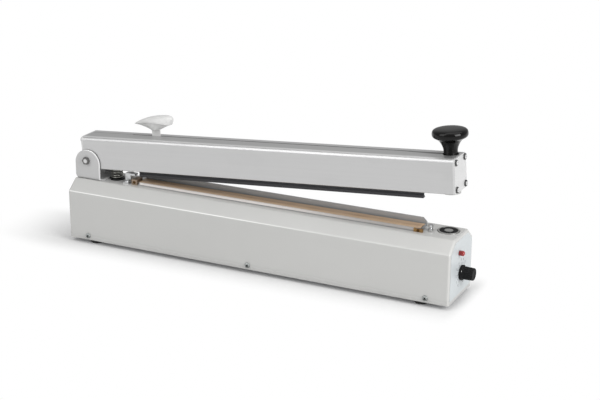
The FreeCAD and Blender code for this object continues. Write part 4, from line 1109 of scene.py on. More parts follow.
RESIN_BLACK = MouldedPlastic("finish_resin_black", tone(16, 16, 16), 0.5, grain=0.0012, grain_depth=0.00002,
                             shine=0.15)
MAGNET_STEEL = DrawnMetal("finish_magnet_steel", tone(196, 196, 194), 0.3, lines=(0.0005, 0.02, 0.0005),
                          bands=(0.003, 0.03, 0.003), contrast=0.08)
SEAL_RUBBER = MouldedRubber("finish_seal_rubber", tone(52, 52, 55), 0.55, turn=ARM.turn())
FILM_WHITE = PanelFilm("finish_film_white", tone(189, 194, 196), 0.36)
LAMP_RED = LampGlass("finish_lamp_red", tone(140, 10, 13), 0.16, centre=(LEFT_END + 0.5503, -0.0085, 0.0652))
POINTER_WHITE = MouldedPlastic("finish_pointer_white", tone(240, 240, 238), 0.4, flow=0.02)
PLASTIC_PALE = MouldedPlastic("finish_plastic_pale", tone(222, 218, 206), 0.44)
SWITCH_DARK = MouldedPlastic("finish_switch_dark", tone(46, 50, 60), 0.4)
DIAL_INK = MouldedPlastic("finish_dial_ink", tone(24, 30, 46), 0.45, flow=0.1)
CORE_IRON = Layered("finish_core_iron", tone(120, 116, 112), 0.42, tone(58, 56, 54), Axis.ACROSS)
COIL_WIRE = Layered("finish_coil_wire", tone(178, 98, 52), 0.32, tone(104, 50, 26), Axis.UP)
BOARD_GREEN = BoardLacquer("finish_board_green", tone(34, 92, 52), 0.3)
BLADE_STEEL = DrawnMetal("finish_blade_steel", tone(208, 209, 212), 0.22, lines=(0.0005, 0.0005, 0.02),
                         bands=(0.003, 0.003, 0.05))
STUD_STEEL = DrawnMetal("finish_stud_steel", tone(190, 190, 190), 0.28, lines=(0.004, 0.004, 0.0004),
                        bands=(0.01, 0.01, 0.003))


def grid_faces(rows: int, columns: int, closed: bool = True) -> Array:
    """Four-cornered faces over a grid of points counted row by row.

    Args:
        rows: Number of rows.
        columns: Number of columns.
        closed: Whether the last column joins the first.

    Returns:
        Corner numbers, four to a face.
    """
    first = np.arange(rows - 1)[:, None] * columns
    here = np.arange(columns if closed else columns - 1)[None, :]
    there = (here + 1) % columns
    corners = [first + here, first + there, first + there + columns, first + here + columns]
    return np.stack(corners, axis=-1).reshape(-1, 4)


def raise_piece(name: str, corners: Array, faces: list[list[int]], crease: float = CREASE,
                closed: bool = True) -> bpy.types.Object:
    """Puts points and faces into a new piece, closes its seams and turns its faces outwards.

    Args:
        name: The piece's name.
        corners: Points, three numbers each.
        faces: Corner numbers of each face.
        crease: Angle in degrees past which an edge stays sharp.
        closed: Whether the piece is a closed shell, whose doubles are merged.

    Returns:
        The piece, at the origin.
    """
    mesh = bpy.data.meshes.new(name)
    mesh.from_pydata(corners.tolist(), [], faces)
    if closed:
        shell = bmesh.new()
        shell.from_mesh(mesh)
        bmesh.ops.remove_doubles(shell, verts=shell.verts, dist=TINY)
        bmesh.ops.recalc_face_normals(shell, faces=shell.faces)
        shell.to_mesh(mesh)
        shell.free()
    mesh.shade_smooth()
    mesh.set_sharp_from_angle(angle=math.radians(crease))
    piece = bpy.data.objects.new(name, mesh)
    bpy.context.scene.collection.objects.link(piece)
    return piece


def raise_shells(name: str, shells: Sequence[Array], crease: float = CREASE) -> bpy.types.Object:
    """One piece from grids whose columns run round it and whose end rows close it.

    Args:
        name: The piece's name.
        shells: Grids of points, rows by columns by three.
        crease: Angle in degrees past which an edge stays sharp.

    Returns:
        The piece.
    """
    sizes = [shell.shape[0] * shell.shape[1] for shell in shells]
    starts = np.cumsum([0] + sizes[:-1])
    corners = np.concatenate([shell.reshape(-1, 3) for shell in shells])
    faces = np.concatenate([grid_faces(*shell.shape[:2]) + start for shell, start in zip(shells, starts)])
    return raise_piece(name, corners, faces.tolist(), crease)


def cut_corners(points: Array, rounds: int, closed: bool = False) -> Array:
    """A line with its corners cut: each run keeps its points at a quarter and three quarters.

    Args:
        points: The line's points.
        rounds: How often the corners are cut.
        closed: Whether the last point joins the first.

    Returns:
        The smoother line.
    """
    for _ in range(rounds):
        ahead = np.roll(points, -1, axis=0) if closed else points[1:]
        here = points if closed else points[:-1]
        pairs = np.stack([here * 0.75 + ahead * 0.25, here * 0.25 + ahead * 0.75], axis=1)
        cut = pairs.reshape(-1, points.shape[1])
        points = cut if closed else np.concatenate([points[:1], cut, points[-1:]])
    return points


def turned_grid(profile: Array, columns: int) -> Array:
    """A profile of radius and height turned round the vertical: x and y are the radius times cosine and sine.

    Args:
        profile: Radius and height of each row.
        columns: Number of points round.

    Returns:
        The grid of points.
    """
    angle = np.linspace(0.0, FULL_TURN, columns, endpoint=False)
    radius, height = profile[:, :1], profile[:, 1:]
    level = np.broadcast_to(height, (len(profile), columns))
    return np.stack([radius * np.cos(angle), radius * np.sin(angle), level], axis=-1)


def hand_over(piece: bpy.types.Object, node: str, finish: Finish) -> None:
    """Finishes a piece and lets it stand for a solid.

    Args:
        piece: The new piece.
        node: The solid that it stands for.
        finish: Its finish.
    """
    finish.coat(piece)
    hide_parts(node)
    log.info("%s stands for %s", piece.name, node)


@dataclass(frozen=True)
class SoftLamp:
    """A rectangular lamp. A glow of 1 is that of white paper in full light."""

    name: str
    place: Point
    aim: Point
    size: Span
    glow: float

    def build(self) -> None:
        """Hangs the lamp and turns it to the point that it faces."""
        data = bpy.data.lights.new(self.name, "AREA")
        data.shape = "RECTANGLE"
        data.size, data.size_y = self.size
        data.energy = self.glow * self.size[0] * self.size[1] * math.pi
        lamp = bpy.data.objects.new(self.name, data)
        lamp.location = self.place
        lamp.rotation_euler = (Vector(self.aim) - Vector(self.place)).to_track_quat("-Z", "Y").to_euler()
        bpy.context.scene.collection.objects.link(lamp)


@dataclass
class Studio:
    """White floor, soft lamps, even surroundings and the camera."""

    azimuth: float = 0.4519371
    elevation: float = 0.3267738
    roll: float = 0.0059404
    lens: float = 86.018
    sensor: float = 36.0
    sight: float = 60.0
    camera_from_left: float = 1.0885496
    camera_y: float = -1.5624704
    camera_z: float = 0.6854555
    floor_half: float = 7.0
    floor_shade: float = 0.74
    floor_bounce: float = 0.78
    floor_glow: float = 0.05
    floor_clouds: Noise = Noise(even(0.8), 2.0)
    cloud_share: float = 0.02
    margin: Span = (0.0, 0.09)
    shadow_left: float = -0.275
    shadow_right: float = 0.27
    shadow_half_width: float = 0.04
    fall_left: float = 0.65
    fall_right: float = 4.6
    fall_aside: float = 1.8
    surround: float = 0.4
    lamps: tuple[SoftLamp, ...] = (
        SoftLamp("overhead_lamp", place=(0.5, 0.3, 1.9), aim=(0.5, 0.31, 0.0), size=(1.8, 1.8), glow=1.1),
        SoftLamp("front_lamp", place=(-0.75, -1.24, 1.32), aim=(0.0, 0.0, 0.1), size=(1.2, 2.0), glow=2.1),
        SoftLamp("side_lamp", place=(1.75, -0.55, 0.95), aim=(0.0, 0.0, 0.08), size=(1.1, 1.1), glow=7.2),
    )

    def make_camera(self) -> None:
        """Places the camera as the photograph was taken and makes it the scene's."""
        ahead = np.array([-math.sin(self.azimuth), math.cos(self.azimuth), 0.0])
        right = np.array([math.cos(self.azimuth), math.sin(self.azimuth), 0.0])
        top = np.array([0.0, 0.0, 1.0])
        view = ahead * math.cos(self.elevation) - top * math.sin(self.elevation)
        up = ahead * math.sin(self.elevation) + top * math.cos(self.elevation)
        cosine, sine = math.cos(self.roll), math.sin(self.roll)
        side, rise = right * cosine + up * sine, up * cosine - right * sine
        camera = bpy.data.objects.new("camera", bpy.data.cameras.new("camera"))
        camera.data.lens = self.lens
        camera.data.sensor_width = self.sensor
        camera.data.clip_end = self.sight
        place = Matrix(np.stack([side, rise, -view], axis=1).tolist()).to_4x4()
        place.translation = (LEFT_END + self.camera_from_left, self.camera_y, self.camera_z)
        camera.matrix_world = place
        bpy.context.scene.collection.objects.link(camera)
        bpy.context.scene.camera = camera

    def make_floor(self) -> None:
        """Lays a white floor that keeps the sealer's shadow and turns plain white further out."""
        half = self.floor_half
        corners = np.array([[-half, -half, 0.0], [half, -half, 0.0], [half, half, 0.0], [-half, half, 0.0]])
        floor = raise_piece("studio_floor", corners, [[0, 1, 2, 3]], closed=False)
        graph = Graph(bpy.data.materials.new("finish_studio_floor"))
        path = graph.node("ShaderNodeLightPath")
        rays = ("Is Camera Ray", "Is Glossy Ray", "Is Transmission Ray")
        straight, mirrored, through = (Value(graph, path.outputs[ray]) for ray in rays)
        clouds = 1.0 - self.cloud_share + self.floor_clouds.on(graph) * self.cloud_share
        paper = graph.blend(straight * clouds, even(self.floor_bounce), even(self.floor_shade))
        matt = graph.node("ShaderNodeBsdfDiffuse", None, {"Color": paper})
        glow = graph.node("ShaderNodeEmission", None, {"Color": even(1.0), "Strength": 1.0})
        along, across, _ = graph.axes()
        past_right = (along - self.shadow_right) * self.fall_right
        past_left = (self.shadow_left - along) * self.fall_left
        past_side = (abs(across) - self.shadow_half_width).most(0.0) * self.fall_aside
        far = past_right.most(past_left).most(0.0).reach(past_side).rise(*self.margin)
        share = straight.most(mirrored).most(through) * (self.floor_glow + far * (1.0 - self.floor_glow))
        mixed = graph.node("ShaderNodeMixShader", None, {0: share, 1: matt.outputs[0], 2: glow.outputs[0]})
        graph.node("ShaderNodeOutputMaterial", None, {"Surface": mixed.outputs[0]})
        floor.data.materials.append(graph.owner)

    def make_surround(self) -> None:
        """Gives the room an even pale light, and plain white to the camera past the floor's end."""
        graph = Graph(bpy.data.worlds.new("studio_surround"))
        straight = Value(graph, graph.node("ShaderNodeLightPath").outputs["Is Camera Ray"])
        strength = self.surround + straight * (1.0 - self.surround)
        sky = graph.node("ShaderNodeBackground", None, {"Color": even(1.0), "Strength": strength})
        graph.node("ShaderNodeOutputWorld", None, {"Surface": sky.outputs[0]})
        bpy.context.scene.world = graph.owner

    def build(self) -> None:
        """Sets up the camera, the light and the floor."""
        bpy.context.scene.view_settings.view_transform = "Standard"
        self.make_camera()
        self.make_surround()
        self.make_floor()
        for lamp in self.lamps:
            lamp.build()
        log.info("studio ready")


@dataclass
class SubAssembly:
    """A group of pieces with the finishes of the solids that it keeps."""

    finishes: dict[str, Finish] = field(default_factory=dict)

    def dress(self) -> None:
        """Gives each kept solid its finish and reports it."""
        for node, finish in self.finishes.items():
            finish.coat(frame["nodes"][node])
            log.info("%s: %s", node, finish.name)

    def make(self) -> None:
        """Builds the group's own pieces, where it has any."""

    def build(self) -> None:
        """Builds the group's pieces, then dresses its solids."""
        self.make()
        self.dress()


@dataclass
class Housing(SubAssembly):
    """The painted housing with its tray, feet, screws and gland."""

    finishes: dict[str, Finish] = field(default_factory=lambda: {
        "base_housing": HOUSING_PAINT,
        "bottom_tray": TRAY_ZINC,
        "rubber_feet": FOOT_RUBBER,
        "side_screws": SIDE_SCREW,
        "small_screws": SCREW_ZINC,
        "mains_gland": PLASTIC_BLACK,
    })


@dataclass
class SealingBar(SubAssembly):
    """The bar with its rail, heating band, terminals and the non-stick sheet over them."""

    sheet_from_left: float = 0.096
    sheet_length: float = 0.404
    leg_from_left: float = 0.099
    leg_length: float = 0.39335
    rear_y: float = 0.0047
    front_y: float = -0.01315
    top_z: float = 0.0907
    leg_z: float = 0.0883
    sheet_wall: float = 0.00025
    bend: float = 0.0007
    sag: float = 0.0001
    band_y: float = -0.0041
    band_half: float = 0.0025
    sag_width: float = 0.0012
    ripple: float = 0.00002
    ripple_turn: float = 90.0
    points_along: int = 160
    points_across: int = 40
    points_round: int = 8
    points_down: int = 6
    finishes: dict[str, Finish] = field(default_factory=lambda: {
        "bar_channel": RAIL_SATIN,
        "sealing_bar": BAR_MILLED,
        "heating_band": BAND_ALLOY,
        "clamp_strip": STRIP_BRIGHT,
        "terminal_left": BRASS_DULL,
        "terminal_right": BRASS,
        "terminal_screws": BRONZE_DARK,
        "tension_bracket": SCREW_ZINC,
        "post_bush": PLASTIC_GREY,
        "terminal_post": SCREW_ZINC,
    })

    def sheet_section(self) -> Array:
        """The cloth's section: forwards over the band, a quarter circle down, and a short leg.

        Beside the band it sinks by the sag times a smooth step of how far beside it a point lies.

        Returns:
            Points of y and z.
        """
        half = self.sheet_wall / 2.0
        level, front = self.top_z - half, self.front_y + half
        across = np.linspace(self.rear_y - half, front + self.bend, self.points_across)
        beside = np.clip((np.abs(across - self.band_y) - self.band_half) / self.sag_width, 0.0, 1.0)
        top = np.stack([across, level - self.sag * beside * beside * (3.0 - 2.0 * beside)], axis=1)
        angle = np.linspace(0.0, math.pi / 2.0, self.points_round)[1:]
        bend_y, bend_z = front + self.bend, level - self.sag - self.bend
        turn = np.stack([bend_y - self.bend * np.sin(angle), bend_z + self.bend * np.cos(angle)], axis=1)
        down = np.linspace(bend_z, self.leg_z, self.points_down)[1:]
        return np.concatenate([top, turn, np.stack([np.full(len(down), front), down], axis=1)])

    def sheet_grid(self) -> Array:
        """The middle surface of the cloth: its section carried along the bar.

        The leg behind the clamp strip is shorter than the top, and the bend goes over from one to the
        other. The top rises and falls by a faint sine along the bar.

        Returns:
            The grid of points.
        """
        section = self.sheet_section()
        level = self.top_z - self.sheet_wall / 2.0 - self.sag
        down = np.clip((level - section[:, 1]) / self.bend, 0.0, 1.0)
        start = self.sheet_from_left + down * (self.leg_from_left - self.sheet_from_left)
        length = self.sheet_length + down * (self.leg_length - self.sheet_length)
        share = np.linspace(0.0, 1.0, self.points_along)[:, None]
        along = LEFT_END + start + share * length
        ripple = self.ripple * np.sin(along * self.ripple_turn) * (1.0 - down)
        return np.stack([along, np.broadcast_to(section[:, 0], along.shape), section[:, 1] + ripple], axis=-1)

    def make(self) -> None:
        """Lays the non-stick cloth over the band."""
        grid = self.sheet_grid()
        faces = grid_faces(*grid.shape[:2], closed=False)[:, ::-1].tolist()
        cloth = raise_piece("nonstick_cloth", grid.reshape(-1, 3), faces, crease=60.0, closed=False)
        wall = cloth.modifiers.new("wall", "SOLIDIFY")
        wall.thickness = self.sheet_wall
        wall.offset = 0.0
        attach(cloth, Body.BASE.value)
        hand_over(cloth, "nonstick_sheet", CLOTH_TAN)


@dataclass
class CoilSpring:
    """A coil spring between two bodies, standing on its foot."""

    name: str
    node: str
    lower: Body
    upper: Body
    feet: list[Point]
    length: float
    radius: float
    wire: float
    turns: float
    on_arm: bool = True
    closing: float = 0.3
    points_a_turn: int = 36
    points_round: int = 12

    def coil_grid(self, foot: Array, up: Array) -> Array:
        """A coil of round wire whose end turns close up.

        The middle of the wire runs round the axis at the mean radius and climbs by its share of the turns,
        less a sine that flattens the climb at both ends; circles of half the wire's size stand square to it.

        Args:
            foot: Foot of the coil's axis.
            up: The axis, of length one.

        Returns:
            The grid of points, closed at both ends.
        """
        share = np.linspace(0.0, 1.0, int(self.turns * self.points_a_turn))
        angle = share * self.turns * FULL_TURN
        rise = self.length - self.wire
        climb = rise * (share - self.closing * np.sin(FULL_TURN * share) / FULL_TURN) + self.wire / 2.0
        slope = rise * (1.0 - self.closing * np.cos(FULL_TURN * share)) / (self.turns * FULL_TURN)
        side = np.cross(up, np.array([0.0, 1.0, 0.0]))
        side /= np.linalg.norm(side)
        front = np.cross(up, side)
        outward = np.cos(angle)[:, None] * side + np.sin(angle)[:, None] * front
        round_way = -np.sin(angle)[:, None] * side + np.cos(angle)[:, None] * front
        forward = self.radius * round_way + slope[:, None] * up
        forward /= np.linalg.norm(forward, axis=1, keepdims=True)
        across = np.cross(forward, outward)
        middle = foot + self.radius * outward + climb[:, None] * up
        spin = np.linspace(0.0, FULL_TURN, self.points_round, endpoint=False)[None, :, None]
        ring = np.cos(spin) * outward[:, None, :] + np.sin(spin) * across[:, None, :]
        tube = middle[:, None, :] + self.wire / 2.0 * ring
        first, last = (np.broadcast_to(end, tube[:1].shape) for end in (middle[0], middle[-1]))
        return np.concatenate([first, tube, last])

    def build(self) -> None:
        """Winds the spring in place, turned up with the arm where it stands on the arm."""
        feet = np.array(self.feet) + np.array([LEFT_END, 0.0, 0.0])
        tops = feet + np.array([0.0, 0.0, self.length])
        if self.on_arm:
            feet, tops = ARM.lift(feet), ARM.lift(tops)
        up = (tops[0] - feet[0]) / self.length
        spring = raise_shells(self.name, [self.coil_grid(foot, up) for foot in feet])
        hand_over(spring, self.node, SPRING_STEEL)
        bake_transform(spring)


@dataclass
class HingeSet(SubAssembly):
    """The hinge bracket, its pin and the spring that lifts the arm."""

    spring: CoilSpring = field(default_factory=lambda: CoilSpring(
        "lift_coil", "lift_spring", Body.BASE, Body.ARM, feet=[(0.055, -0.002, 0.088)],
        length=0.01433, radius=0.0073, wire=0.002, turns=4.0, on_arm=False))
    finishes: dict[str, Finish] = field(default_factory=lambda: {
        "hinge_bracket": HINGE_PAINT,
        "hinge_pin": PIN_STEEL,
        "hinge_nut": PIN_STEEL,
        "spring_seat": PLASTIC_BLACK,
    })

    def make(self) -> None:
        """Winds the lift spring."""
        self.spring.build()


@dataclass
class Arm(SubAssembly):
    """The arm with its end plates, the rubber strip under it and the parts inside it."""

    rubber_from_left: float = 0.096
    rubber_length: float = 0.4067
    rubber_front: float = -0.013
    rubber_rear: float = 0.0041
    rubber_low: float = 0.0910
    rubber_top: float = 0.1006
    groove: float = 0.0009
    groove_lines: tuple[float, float, float, float] = (0.0030, 0.0036, 0.0046, 0.0052)
    foot_height: float = 0.0014
    front_foot: float = 0.0006
    rear_foot: float = 0.0012
    bevel: float = 0.0006
    bevel_height: float = 0.0014
    bevel_power: float = 1.6
    step: float = 0.012
    step_y: float = -0.006
    step_width: float = 0.0006
    end_ring: float = 0.94
    end_round: float = 0.0004
    finishes: dict[str, Finish] = field(default_factory=lambda: {
        "arm_profile": ARM_SATIN,
        "arm_end_plate_left": PLATE_SATIN,
        "arm_end_plate_right": PLATE_SATIN,
        "arm_end_screws": END_SCREW,
        "hinge_block": BAR_MILLED,
        "switch_peg": NYLON_WHITE,
        "stud_guide": NYLON_WHITE,
        "cutter_track": BAR_MILLED,
    })

    def rubber_section(self) -> Array:
        """The rubber's section: a block with a groove along its front, rounded at its foot.

        Its corners are cut three times over, and doubled points keep the top and the step line crisp.

        Returns:
            Points of y and z, in order round the block.
        """
        front, rear, low, top = self.rubber_front, self.rubber_rear, self.rubber_low, self.rubber_top
        inner, foot = front + self.groove, low + self.foot_height
        step, behind = self.step_y, self.step_y + self.step_width
        lip, upper, lower, chin = (top - depth for depth in self.groove_lines)
        section = np.array([
            [front, top], [front, top], [front, lip], [inner, upper], [inner, lower], [front, chin],
            [front, foot], [front + self.front_foot, low], [step, low], [step, low], [behind, low],
            [rear - self.rear_foot, low], [rear, foot], [rear, top], [rear, top], [behind, top],
            [step, top], [step, top],
        ])
        return cut_corners(section, rounds=3, closed=True)

    def rubber_grid(self) -> Array:
        """The rubber strip: its section carried along the arm, with both ends rounded in at the foot.

        Each end draws in by the bevel times a power of how far a point lies below the bevel's start, and
        a narrow ring rounds its edges. Behind the step line the right end lies back by the step.

        Returns:
            The grid of points, closed at both ends.
        """
        section = self.rubber_section()
        low, top = self.rubber_low, self.rubber_top
        middle = np.array([(self.rubber_front + self.step_y) / 2.0, (low + top) / 2.0])
        rings = np.array([
            [0.0, 0.0], [0.0, self.end_ring], [self.end_round, 1.0], [0.5, 1.0], [1.0 - self.end_round, 1.0],
            [1.0, self.end_ring], [1.0, 0.0],
        ])
        shape = middle + (section - middle) * rings[:, 1:, None]
        below = np.clip(1.0 - (shape[..., 1] - low) / self.bevel_height, 0.0, 1.0)
        lean = self.bevel * below ** self.bevel_power
        back = self.step * np.clip((shape[..., 0] - self.step_y) / self.step_width, 0.0, 1.0)
        length = self.rubber_length - back - 2.0 * lean
        along = LEFT_END + self.rubber_from_left + lean + rings[:, :1] * length
        return ARM.lift(np.stack([along, shape[..., 0], shape[..., 1]], axis=-1))

    def make(self) -> None:
        """Fits the rubber strip."""
        strip = raise_shells("rubber_strip", [self.rubber_grid()], crease=50.0)
        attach(strip, Body.ARM.value)
        hand_over(strip, "pressure_rubber", SEAL_RUBBER)


@dataclass
class HandleSet(SubAssembly):
    """The black mushroom handle with its stud, spring and keeper."""

    axis_from_left: float = 0.533
    axis_y: float = 0.006
    foot_z: float = 0.1436
    points_round: int = 96
    profile: Line = (
        (0.0, 0.0), (0.0080, 0.0), (0.0087, 0.0007), (0.0087, 0.0040), (0.0088, 0.0066), (0.0095, 0.0095),
        (0.0113, 0.0136), (0.0136, 0.0172), (0.0172, 0.0203), (0.0211, 0.0222), (0.0223, 0.0246),
        (0.0223, 0.0274), (0.0214, 0.0302), (0.0186, 0.0319), (0.0120, 0.0327), (0.0050, 0.0329),
        (0.0, 0.0329),
    )
    spring: CoilSpring = field(default_factory=lambda: CoilSpring(
        "handle_coil", "handle_spring", Body.ARM, Body.HANDLE, feet=[(0.533, 0.006, 0.117)],
        length=0.0263, radius=0.0063, wire=0.0014, turns=7.0))
    finishes: dict[str, Finish] = field(default_factory=lambda: {
        "handle_stud": STUD_STEEL,
        "magnet_keeper": MAGNET_STEEL,
    })

    def knob_grid(self) -> Array:
        """The knob: its profile, with the corners cut, turned round the stud's axis."""
        grid = turned_grid(cut_corners(np.array(self.profile), rounds=3), self.points_round)
        return ARM.lift(grid + np.array([LEFT_END + self.axis_from_left, self.axis_y, self.foot_z]))

    def make(self) -> None:
        """Turns the knob and winds its spring."""
        knob = raise_shells("mushroom_knob", [self.knob_grid()], crease=50.0)
        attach(knob, Body.HANDLE.value)
        hand_over(knob, "handle_knob", KNOB_BLACK)
        self.spring.build()


@dataclass
class CutterSet(SubAssembly):
    """The sliding cutter: slider, plunger, blade, springs and the pale thumb knob."""

    axis_from_left: float = 0.117
    axis_y: float = 0.006
    stem_top: float = 0.1530
    arm_top: float = 0.1446
    tip: float = -0.033
    blunt: float = 0.0285
    arch_power: float = 2.3
    arch_root: float = 1.9
    neck: float = 0.0060
    neck_power: float = 1.15
    lip: float = 0.13
    lip_depth: float = 0.2
    overhang: float = 0.11
    overhang_z: float = 0.0245
    overhang_depth: float = 0.008
    points_along: int = 90
    points_round: int = 72
    crown: Line = (
        (-0.033, 0.0156), (-0.0285, 0.0183), (-0.0245, 0.0203), (-0.0163, 0.0236), (-0.0082, 0.0259),
        (0.0, 0.0275), (0.008, 0.0285), (0.0154, 0.0289), (0.0215, 0.0287), (0.0258, 0.0274),
        (0.0279, 0.0254), (0.0284, 0.0225), (0.0285, 0.0164),
    )
    rim: Line = (
        (-0.033, 0.0156), (-0.030, 0.0160), (-0.022, 0.0180), (-0.0116, 0.0197), (0.0, 0.0202),
        (0.0081, 0.0199), (0.0196, 0.0182), (0.0285, 0.0164),
    )
    plan: Line = (
        (-0.033, 0.0), (-0.0325, 0.0012), (-0.030, 0.0030), (-0.024, 0.0056), (-0.016, 0.0080),
        (-0.006, 0.0098), (0.004, 0.0105), (0.013, 0.0105), (0.021, 0.0092), (0.0256, 0.0066),
        (0.0279, 0.0034), (0.0285, 0.0),
    )
    springs: CoilSpring = field(default_factory=lambda: CoilSpring(
        "return_coils", "cutter_springs", Body.CARRIAGE, Body.CUTTER,
        feet=[(0.1055, 0.006, 0.120), (0.1285, 0.006, 0.120)],
        length=0.0184, radius=0.0022, wire=0.0007, turns=8.0))
    finishes: dict[str, Finish] = field(default_factory=lambda: {
        "cutter_slider": NYLON_WHITE,
        "cutter_plunger": KNOB_PALE,
        "cutter_blade": BLADE_STEEL,
    })

    def knob_grid(self) -> Array:
        """The leaf-shaped knob: closed sections square to its length.

        A section's half width comes from the plan and its rim height from the rim line. Over the rim it is
        a rounded arch up to the crown line; under it the surface steps in by the lip and falls from the rim
        to the neck by a power of its share of the way out from the stem, worked out with the plan's reach
        in each direction. The blunt half is drawn in by the overhang, the more the lower a point lies.

        Returns:
            The grid of points, closed at its tip and its blunt end.
        """
        drawn = (self.crown, self.rim, self.plan)
        crown, rim, plan = (cut_corners(np.array(line), rounds=3) for line in drawn)
        share = np.linspace(0.0, math.pi, self.points_along)
        along = ((self.tip + self.blunt) / 2.0 - np.cos(share) * (self.blunt - self.tip) / 2.0)[:, None]
        width, rim_z, crown_z = (np.interp(along, line[:, 0], line[:, 1]) for line in (plan, rim, crown))
        spin = np.linspace(0.0, FULL_TURN, self.points_round, endpoint=False)
        across = width * np.cos(spin)
        arch = (1.0 - np.abs(np.cos(spin)) ** self.arch_power) ** (1.0 / self.arch_root)
        upper = rim_z + (crown_z - rim_z) * arch
        bearings, reaches = np.arctan2(plan[:, 1], plan[:, 0]), np.hypot(plan[:, 0], plan[:, 1])
        order = np.argsort(bearings)
        reach = np.interp(np.arctan2(np.abs(across), along), bearings[order], reaches[order])
        out = (np.hypot(along, across) - self.neck) / np.maximum(reach - self.neck, TINY)
        stem = self.stem_top - self.arm_top
        lower = stem + (rim_z - stem) * np.clip(out, 0.0, 1.0) ** self.neck_power
        height = np.where(np.sin(spin) < 0.0, np.minimum(lower, upper), upper)
        drawn_in = 1.0 - self.lip * np.clip(-np.sin(spin) / self.lip_depth, 0.0, 1.0)
        low = np.clip((self.overhang_z - height) / self.overhang_depth, 0.0, 1.0) * (along > 0.0)
        grid = np.stack([along * (1.0 - self.overhang * low), across * drawn_in, height], axis=-1)
        return ARM.lift(grid + np.array([LEFT_END + self.axis_from_left, self.axis_y, self.arm_top]))

    def make(self) -> None:
        """Moulds the knob and winds the return springs."""
        knob = raise_shells("thumb_knob", [self.knob_grid()], crease=50.0)
        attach(knob, Body.CUTTER.value)
        hand_over(knob, "cutter_knob", KNOB_PALE)
        self.springs.build()


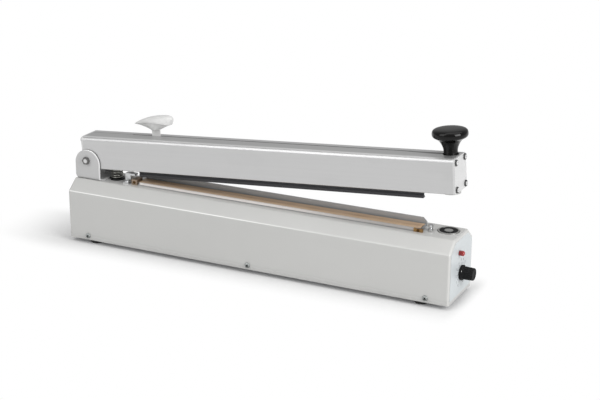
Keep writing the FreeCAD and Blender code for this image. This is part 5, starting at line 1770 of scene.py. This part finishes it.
@dataclass
class TimerPanel(SubAssembly):
    """The right end: label film, dial marks, timer knob, lamp and what stands behind them."""

    axis_z: float = 0.0369
    knob_back: float = 0.5509
    label_face: float = 0.5503
    profile: Line = (
        (0.0, 0.0), (0.0094, 0.0), (0.0097, 0.0003), (0.0097, 0.0026), (0.0094, 0.0029), (0.0089, 0.0029),
        (0.0085, 0.0030), (0.0083, 0.0036), (0.0082, 0.0060), (0.0081, 0.0100), (0.0079, 0.0150),
        (0.0078, 0.0162), (0.0073, 0.0169), (0.0066, 0.0170), (0.0060, 0.0166), (0.0030, 0.0164),
        (0.0, 0.0164),
    )
    ribs: int = 20
    rib_depth: float = 0.00045
    points_a_rib: int = 10
    grip_start: float = 0.0036
    grip_end: float = 0.0166
    fade_in: float = 0.0012
    fade_out: float = 0.0008
    face_radius: float = 0.006
    numbers: int = 11
    first_angle: float = 240.0
    angle_step: float = 30.0
    mark_inner: float = 0.0114
    mark_outer: float = 0.0130
    mark_width: float = 0.0009
    number_radius: float = 0.0168
    number_size: float = 0.0046
    number_steps: int = 3
    print_height: float = 0.00004
    finishes: dict[str, Finish] = field(default_factory=lambda: {
        "control_label": FILM_WHITE,
        "lamp_lens": LAMP_RED,
        "timer_shaft": STUD_STEEL,
        "timer_pointer": POINTER_WHITE,
        "potentiometer": SCREW_ZINC,
        "pot_nut": SCREW_ZINC,
    })

    def knob_grid(self) -> Array:
        """The timer knob: its profile turned round the shaft, with ribs pressed into the grip.

        The radius loses a rib's depth times a raised cosine of the angle, faded in and out along the grip.

        Returns:
            The grid of points, closed at its back and its face.
        """
        profile = cut_corners(np.array(self.profile), rounds=2)
        angle = np.linspace(0.0, FULL_TURN, self.ribs * self.points_a_rib, endpoint=False)
        plain, height = profile[:, :1], profile[:, 1:]
        fade = np.clip((height - self.grip_start) / self.fade_in, 0.0, 1.0)
        fade = fade * np.clip((self.grip_end - height) / self.fade_out, 0.0, 1.0)
        dip = self.rib_depth * (0.5 + 0.5 * np.cos(self.ribs * angle)) * fade
        radius = np.maximum(plain - dip * (plain > self.face_radius), 0.0)
        out = np.broadcast_to(LEFT_END + self.knob_back + height, radius.shape)
        return np.stack([out, radius * np.cos(angle), self.axis_z + radius * np.sin(angle)], axis=-1)

    def dial_angles(self) -> Array:
        """Angles of the dial's marks, from the lower left round over the top to the lower right."""
        return np.radians(self.first_angle - self.angle_step * np.arange(self.numbers))

    def mark_boxes(self) -> tuple[Array, Array]:
        """Corners and faces of the dial's marks: thin bars that point at the shaft.

        Returns:
            Corners, three numbers each, and corner numbers, four to a face.
        """
        angle = self.dial_angles()
        outward = np.stack([np.cos(angle), np.sin(angle)], axis=1)
        sideways = np.stack([-np.sin(angle), np.cos(angle)], axis=1)
        reach = np.array([self.mark_inner, self.mark_outer, self.mark_outer, self.mark_inner])
        shift = np.array([-0.5, -0.5, 0.5, 0.5]) * self.mark_width
        flat = reach[None, :, None] * outward[:, None, :] + shift[None, :, None] * sideways[:, None, :]
        flat = np.tile(flat, (1, 2, 1))
        depth = np.repeat([0.0, self.print_height], len(reach))
        out = np.broadcast_to(LEFT_END + self.label_face + depth, flat.shape[:2])
        corners = np.stack([out, flat[..., 0], self.axis_z + flat[..., 1]], axis=-1).reshape(-1, 3)
        box = np.array([[3, 2, 1, 0], [4, 5, 6, 7], [0, 1, 5, 4], [1, 2, 6, 5], [2, 3, 7, 6], [3, 0, 4, 7]])
        faces = (box[None] + len(depth) * np.arange(self.numbers)[:, None, None]).reshape(-1, 4)
        return corners, faces

    def number_mesh(self, number: int, angle: float) -> tuple[Array, list[list[int]]]:
        """One of the dial's numbers, upright beside its mark.

        Args:
            number: The number.
            angle: Where it stands round the dial.

        Returns:
            Corners and faces.
        """
        letters = bpy.data.curves.new("dial_number", "FONT")
        letters.body = str(number)
        letters.align_x, letters.align_y = "CENTER", "CENTER"
        letters.size = self.number_size
        letters.extrude = self.print_height / 2.0
        letters.resolution_u = self.number_steps
        holder = bpy.data.objects.new("dial_number", letters)
        mesh = bpy.data.meshes.new_from_object(holder)
        flat = np.empty(len(mesh.vertices) * 3)
        mesh.vertices.foreach_get("co", flat)
        flat = flat.reshape(-1, 3)
        out = LEFT_END + self.label_face + self.print_height / 2.0 + flat[:, 2]
        side = self.number_radius * math.cos(angle) + flat[:, 0]
        up = self.axis_z + self.number_radius * math.sin(angle) + flat[:, 1]
        faces = [list(face.vertices) for face in mesh.polygons]
        bpy.data.objects.remove(holder)
        bpy.data.curves.remove(letters)
        bpy.data.meshes.remove(mesh)
        return np.stack([out, side, up], axis=1), faces

    def make(self) -> None:
        """Moulds the timer knob and prints the dial."""
        knob = raise_shells("timer_grip", [self.knob_grid()], crease=30.0)
        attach(knob, Body.TIMER.value)
        hand_over(knob, "timer_knob", TIMER_BLACK)
        corners, faces = self.mark_boxes()
        parts, shapes = [corners], faces.tolist()
        for number, angle in enumerate(self.dial_angles()):
            points, outline = self.number_mesh(number, float(angle))
            start = sum(len(part) for part in parts)
            parts.append(points)
            shapes += [[corner + start for corner in face] for face in outline]
        dial = raise_piece("dial_marks", np.concatenate(parts), shapes, crease=30.0, closed=False)
        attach(dial, Body.BASE.value)
        DIAL_INK.coat(dial)
        log.info("dial_marks printed")


@dataclass
class MagnetSet(SubAssembly):
    """The pot magnet in the deck and the bracket that holds it."""

    finishes: dict[str, Finish] = field(default_factory=lambda: {
        "magnet_pot": MAGNET_STEEL,
        "magnet_resin": RESIN_BLACK,
        "magnet_bracket": SCREW_ZINC,
        "magnet_bolt": SCREW_ZINC,
    })


@dataclass
class InsideParts(SubAssembly):
    """What stands inside the housing: switch, transformer and timer board."""

    finishes: dict[str, Finish] = field(default_factory=lambda: {
        "microswitch": SWITCH_DARK,
        "switch_plunger": PLASTIC_PALE,
        "transformer_core": CORE_IRON,
        "transformer_coil": COIL_WIRE,
        "transformer_strap": TRAY_ZINC,
        "board_standoffs": NYLON_WHITE,
        "circuit_board": BOARD_GREEN,
        "board_parts": PLASTIC_BLACK,
    })


def main() -> None:
    """Builds the studio and the sealer's groups in order."""
    logging.basicConfig(level=logging.INFO, format="%(name)s %(message)s")
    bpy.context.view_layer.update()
    Studio().build()
    groups = (Housing(), SealingBar(), HingeSet(), Arm(), HandleSet(), CutterSet(), TimerPanel(), MagnetSet(),
              InsideParts())
    for group in groups:
        group.build()
    bare = sorted(set(frame["nodes"]) - {node for group in groups for node in group.finishes})
    log.info("solids without a finish of their own: %s", ", ".join(bare))


if __name__ == "__main__":
    main()
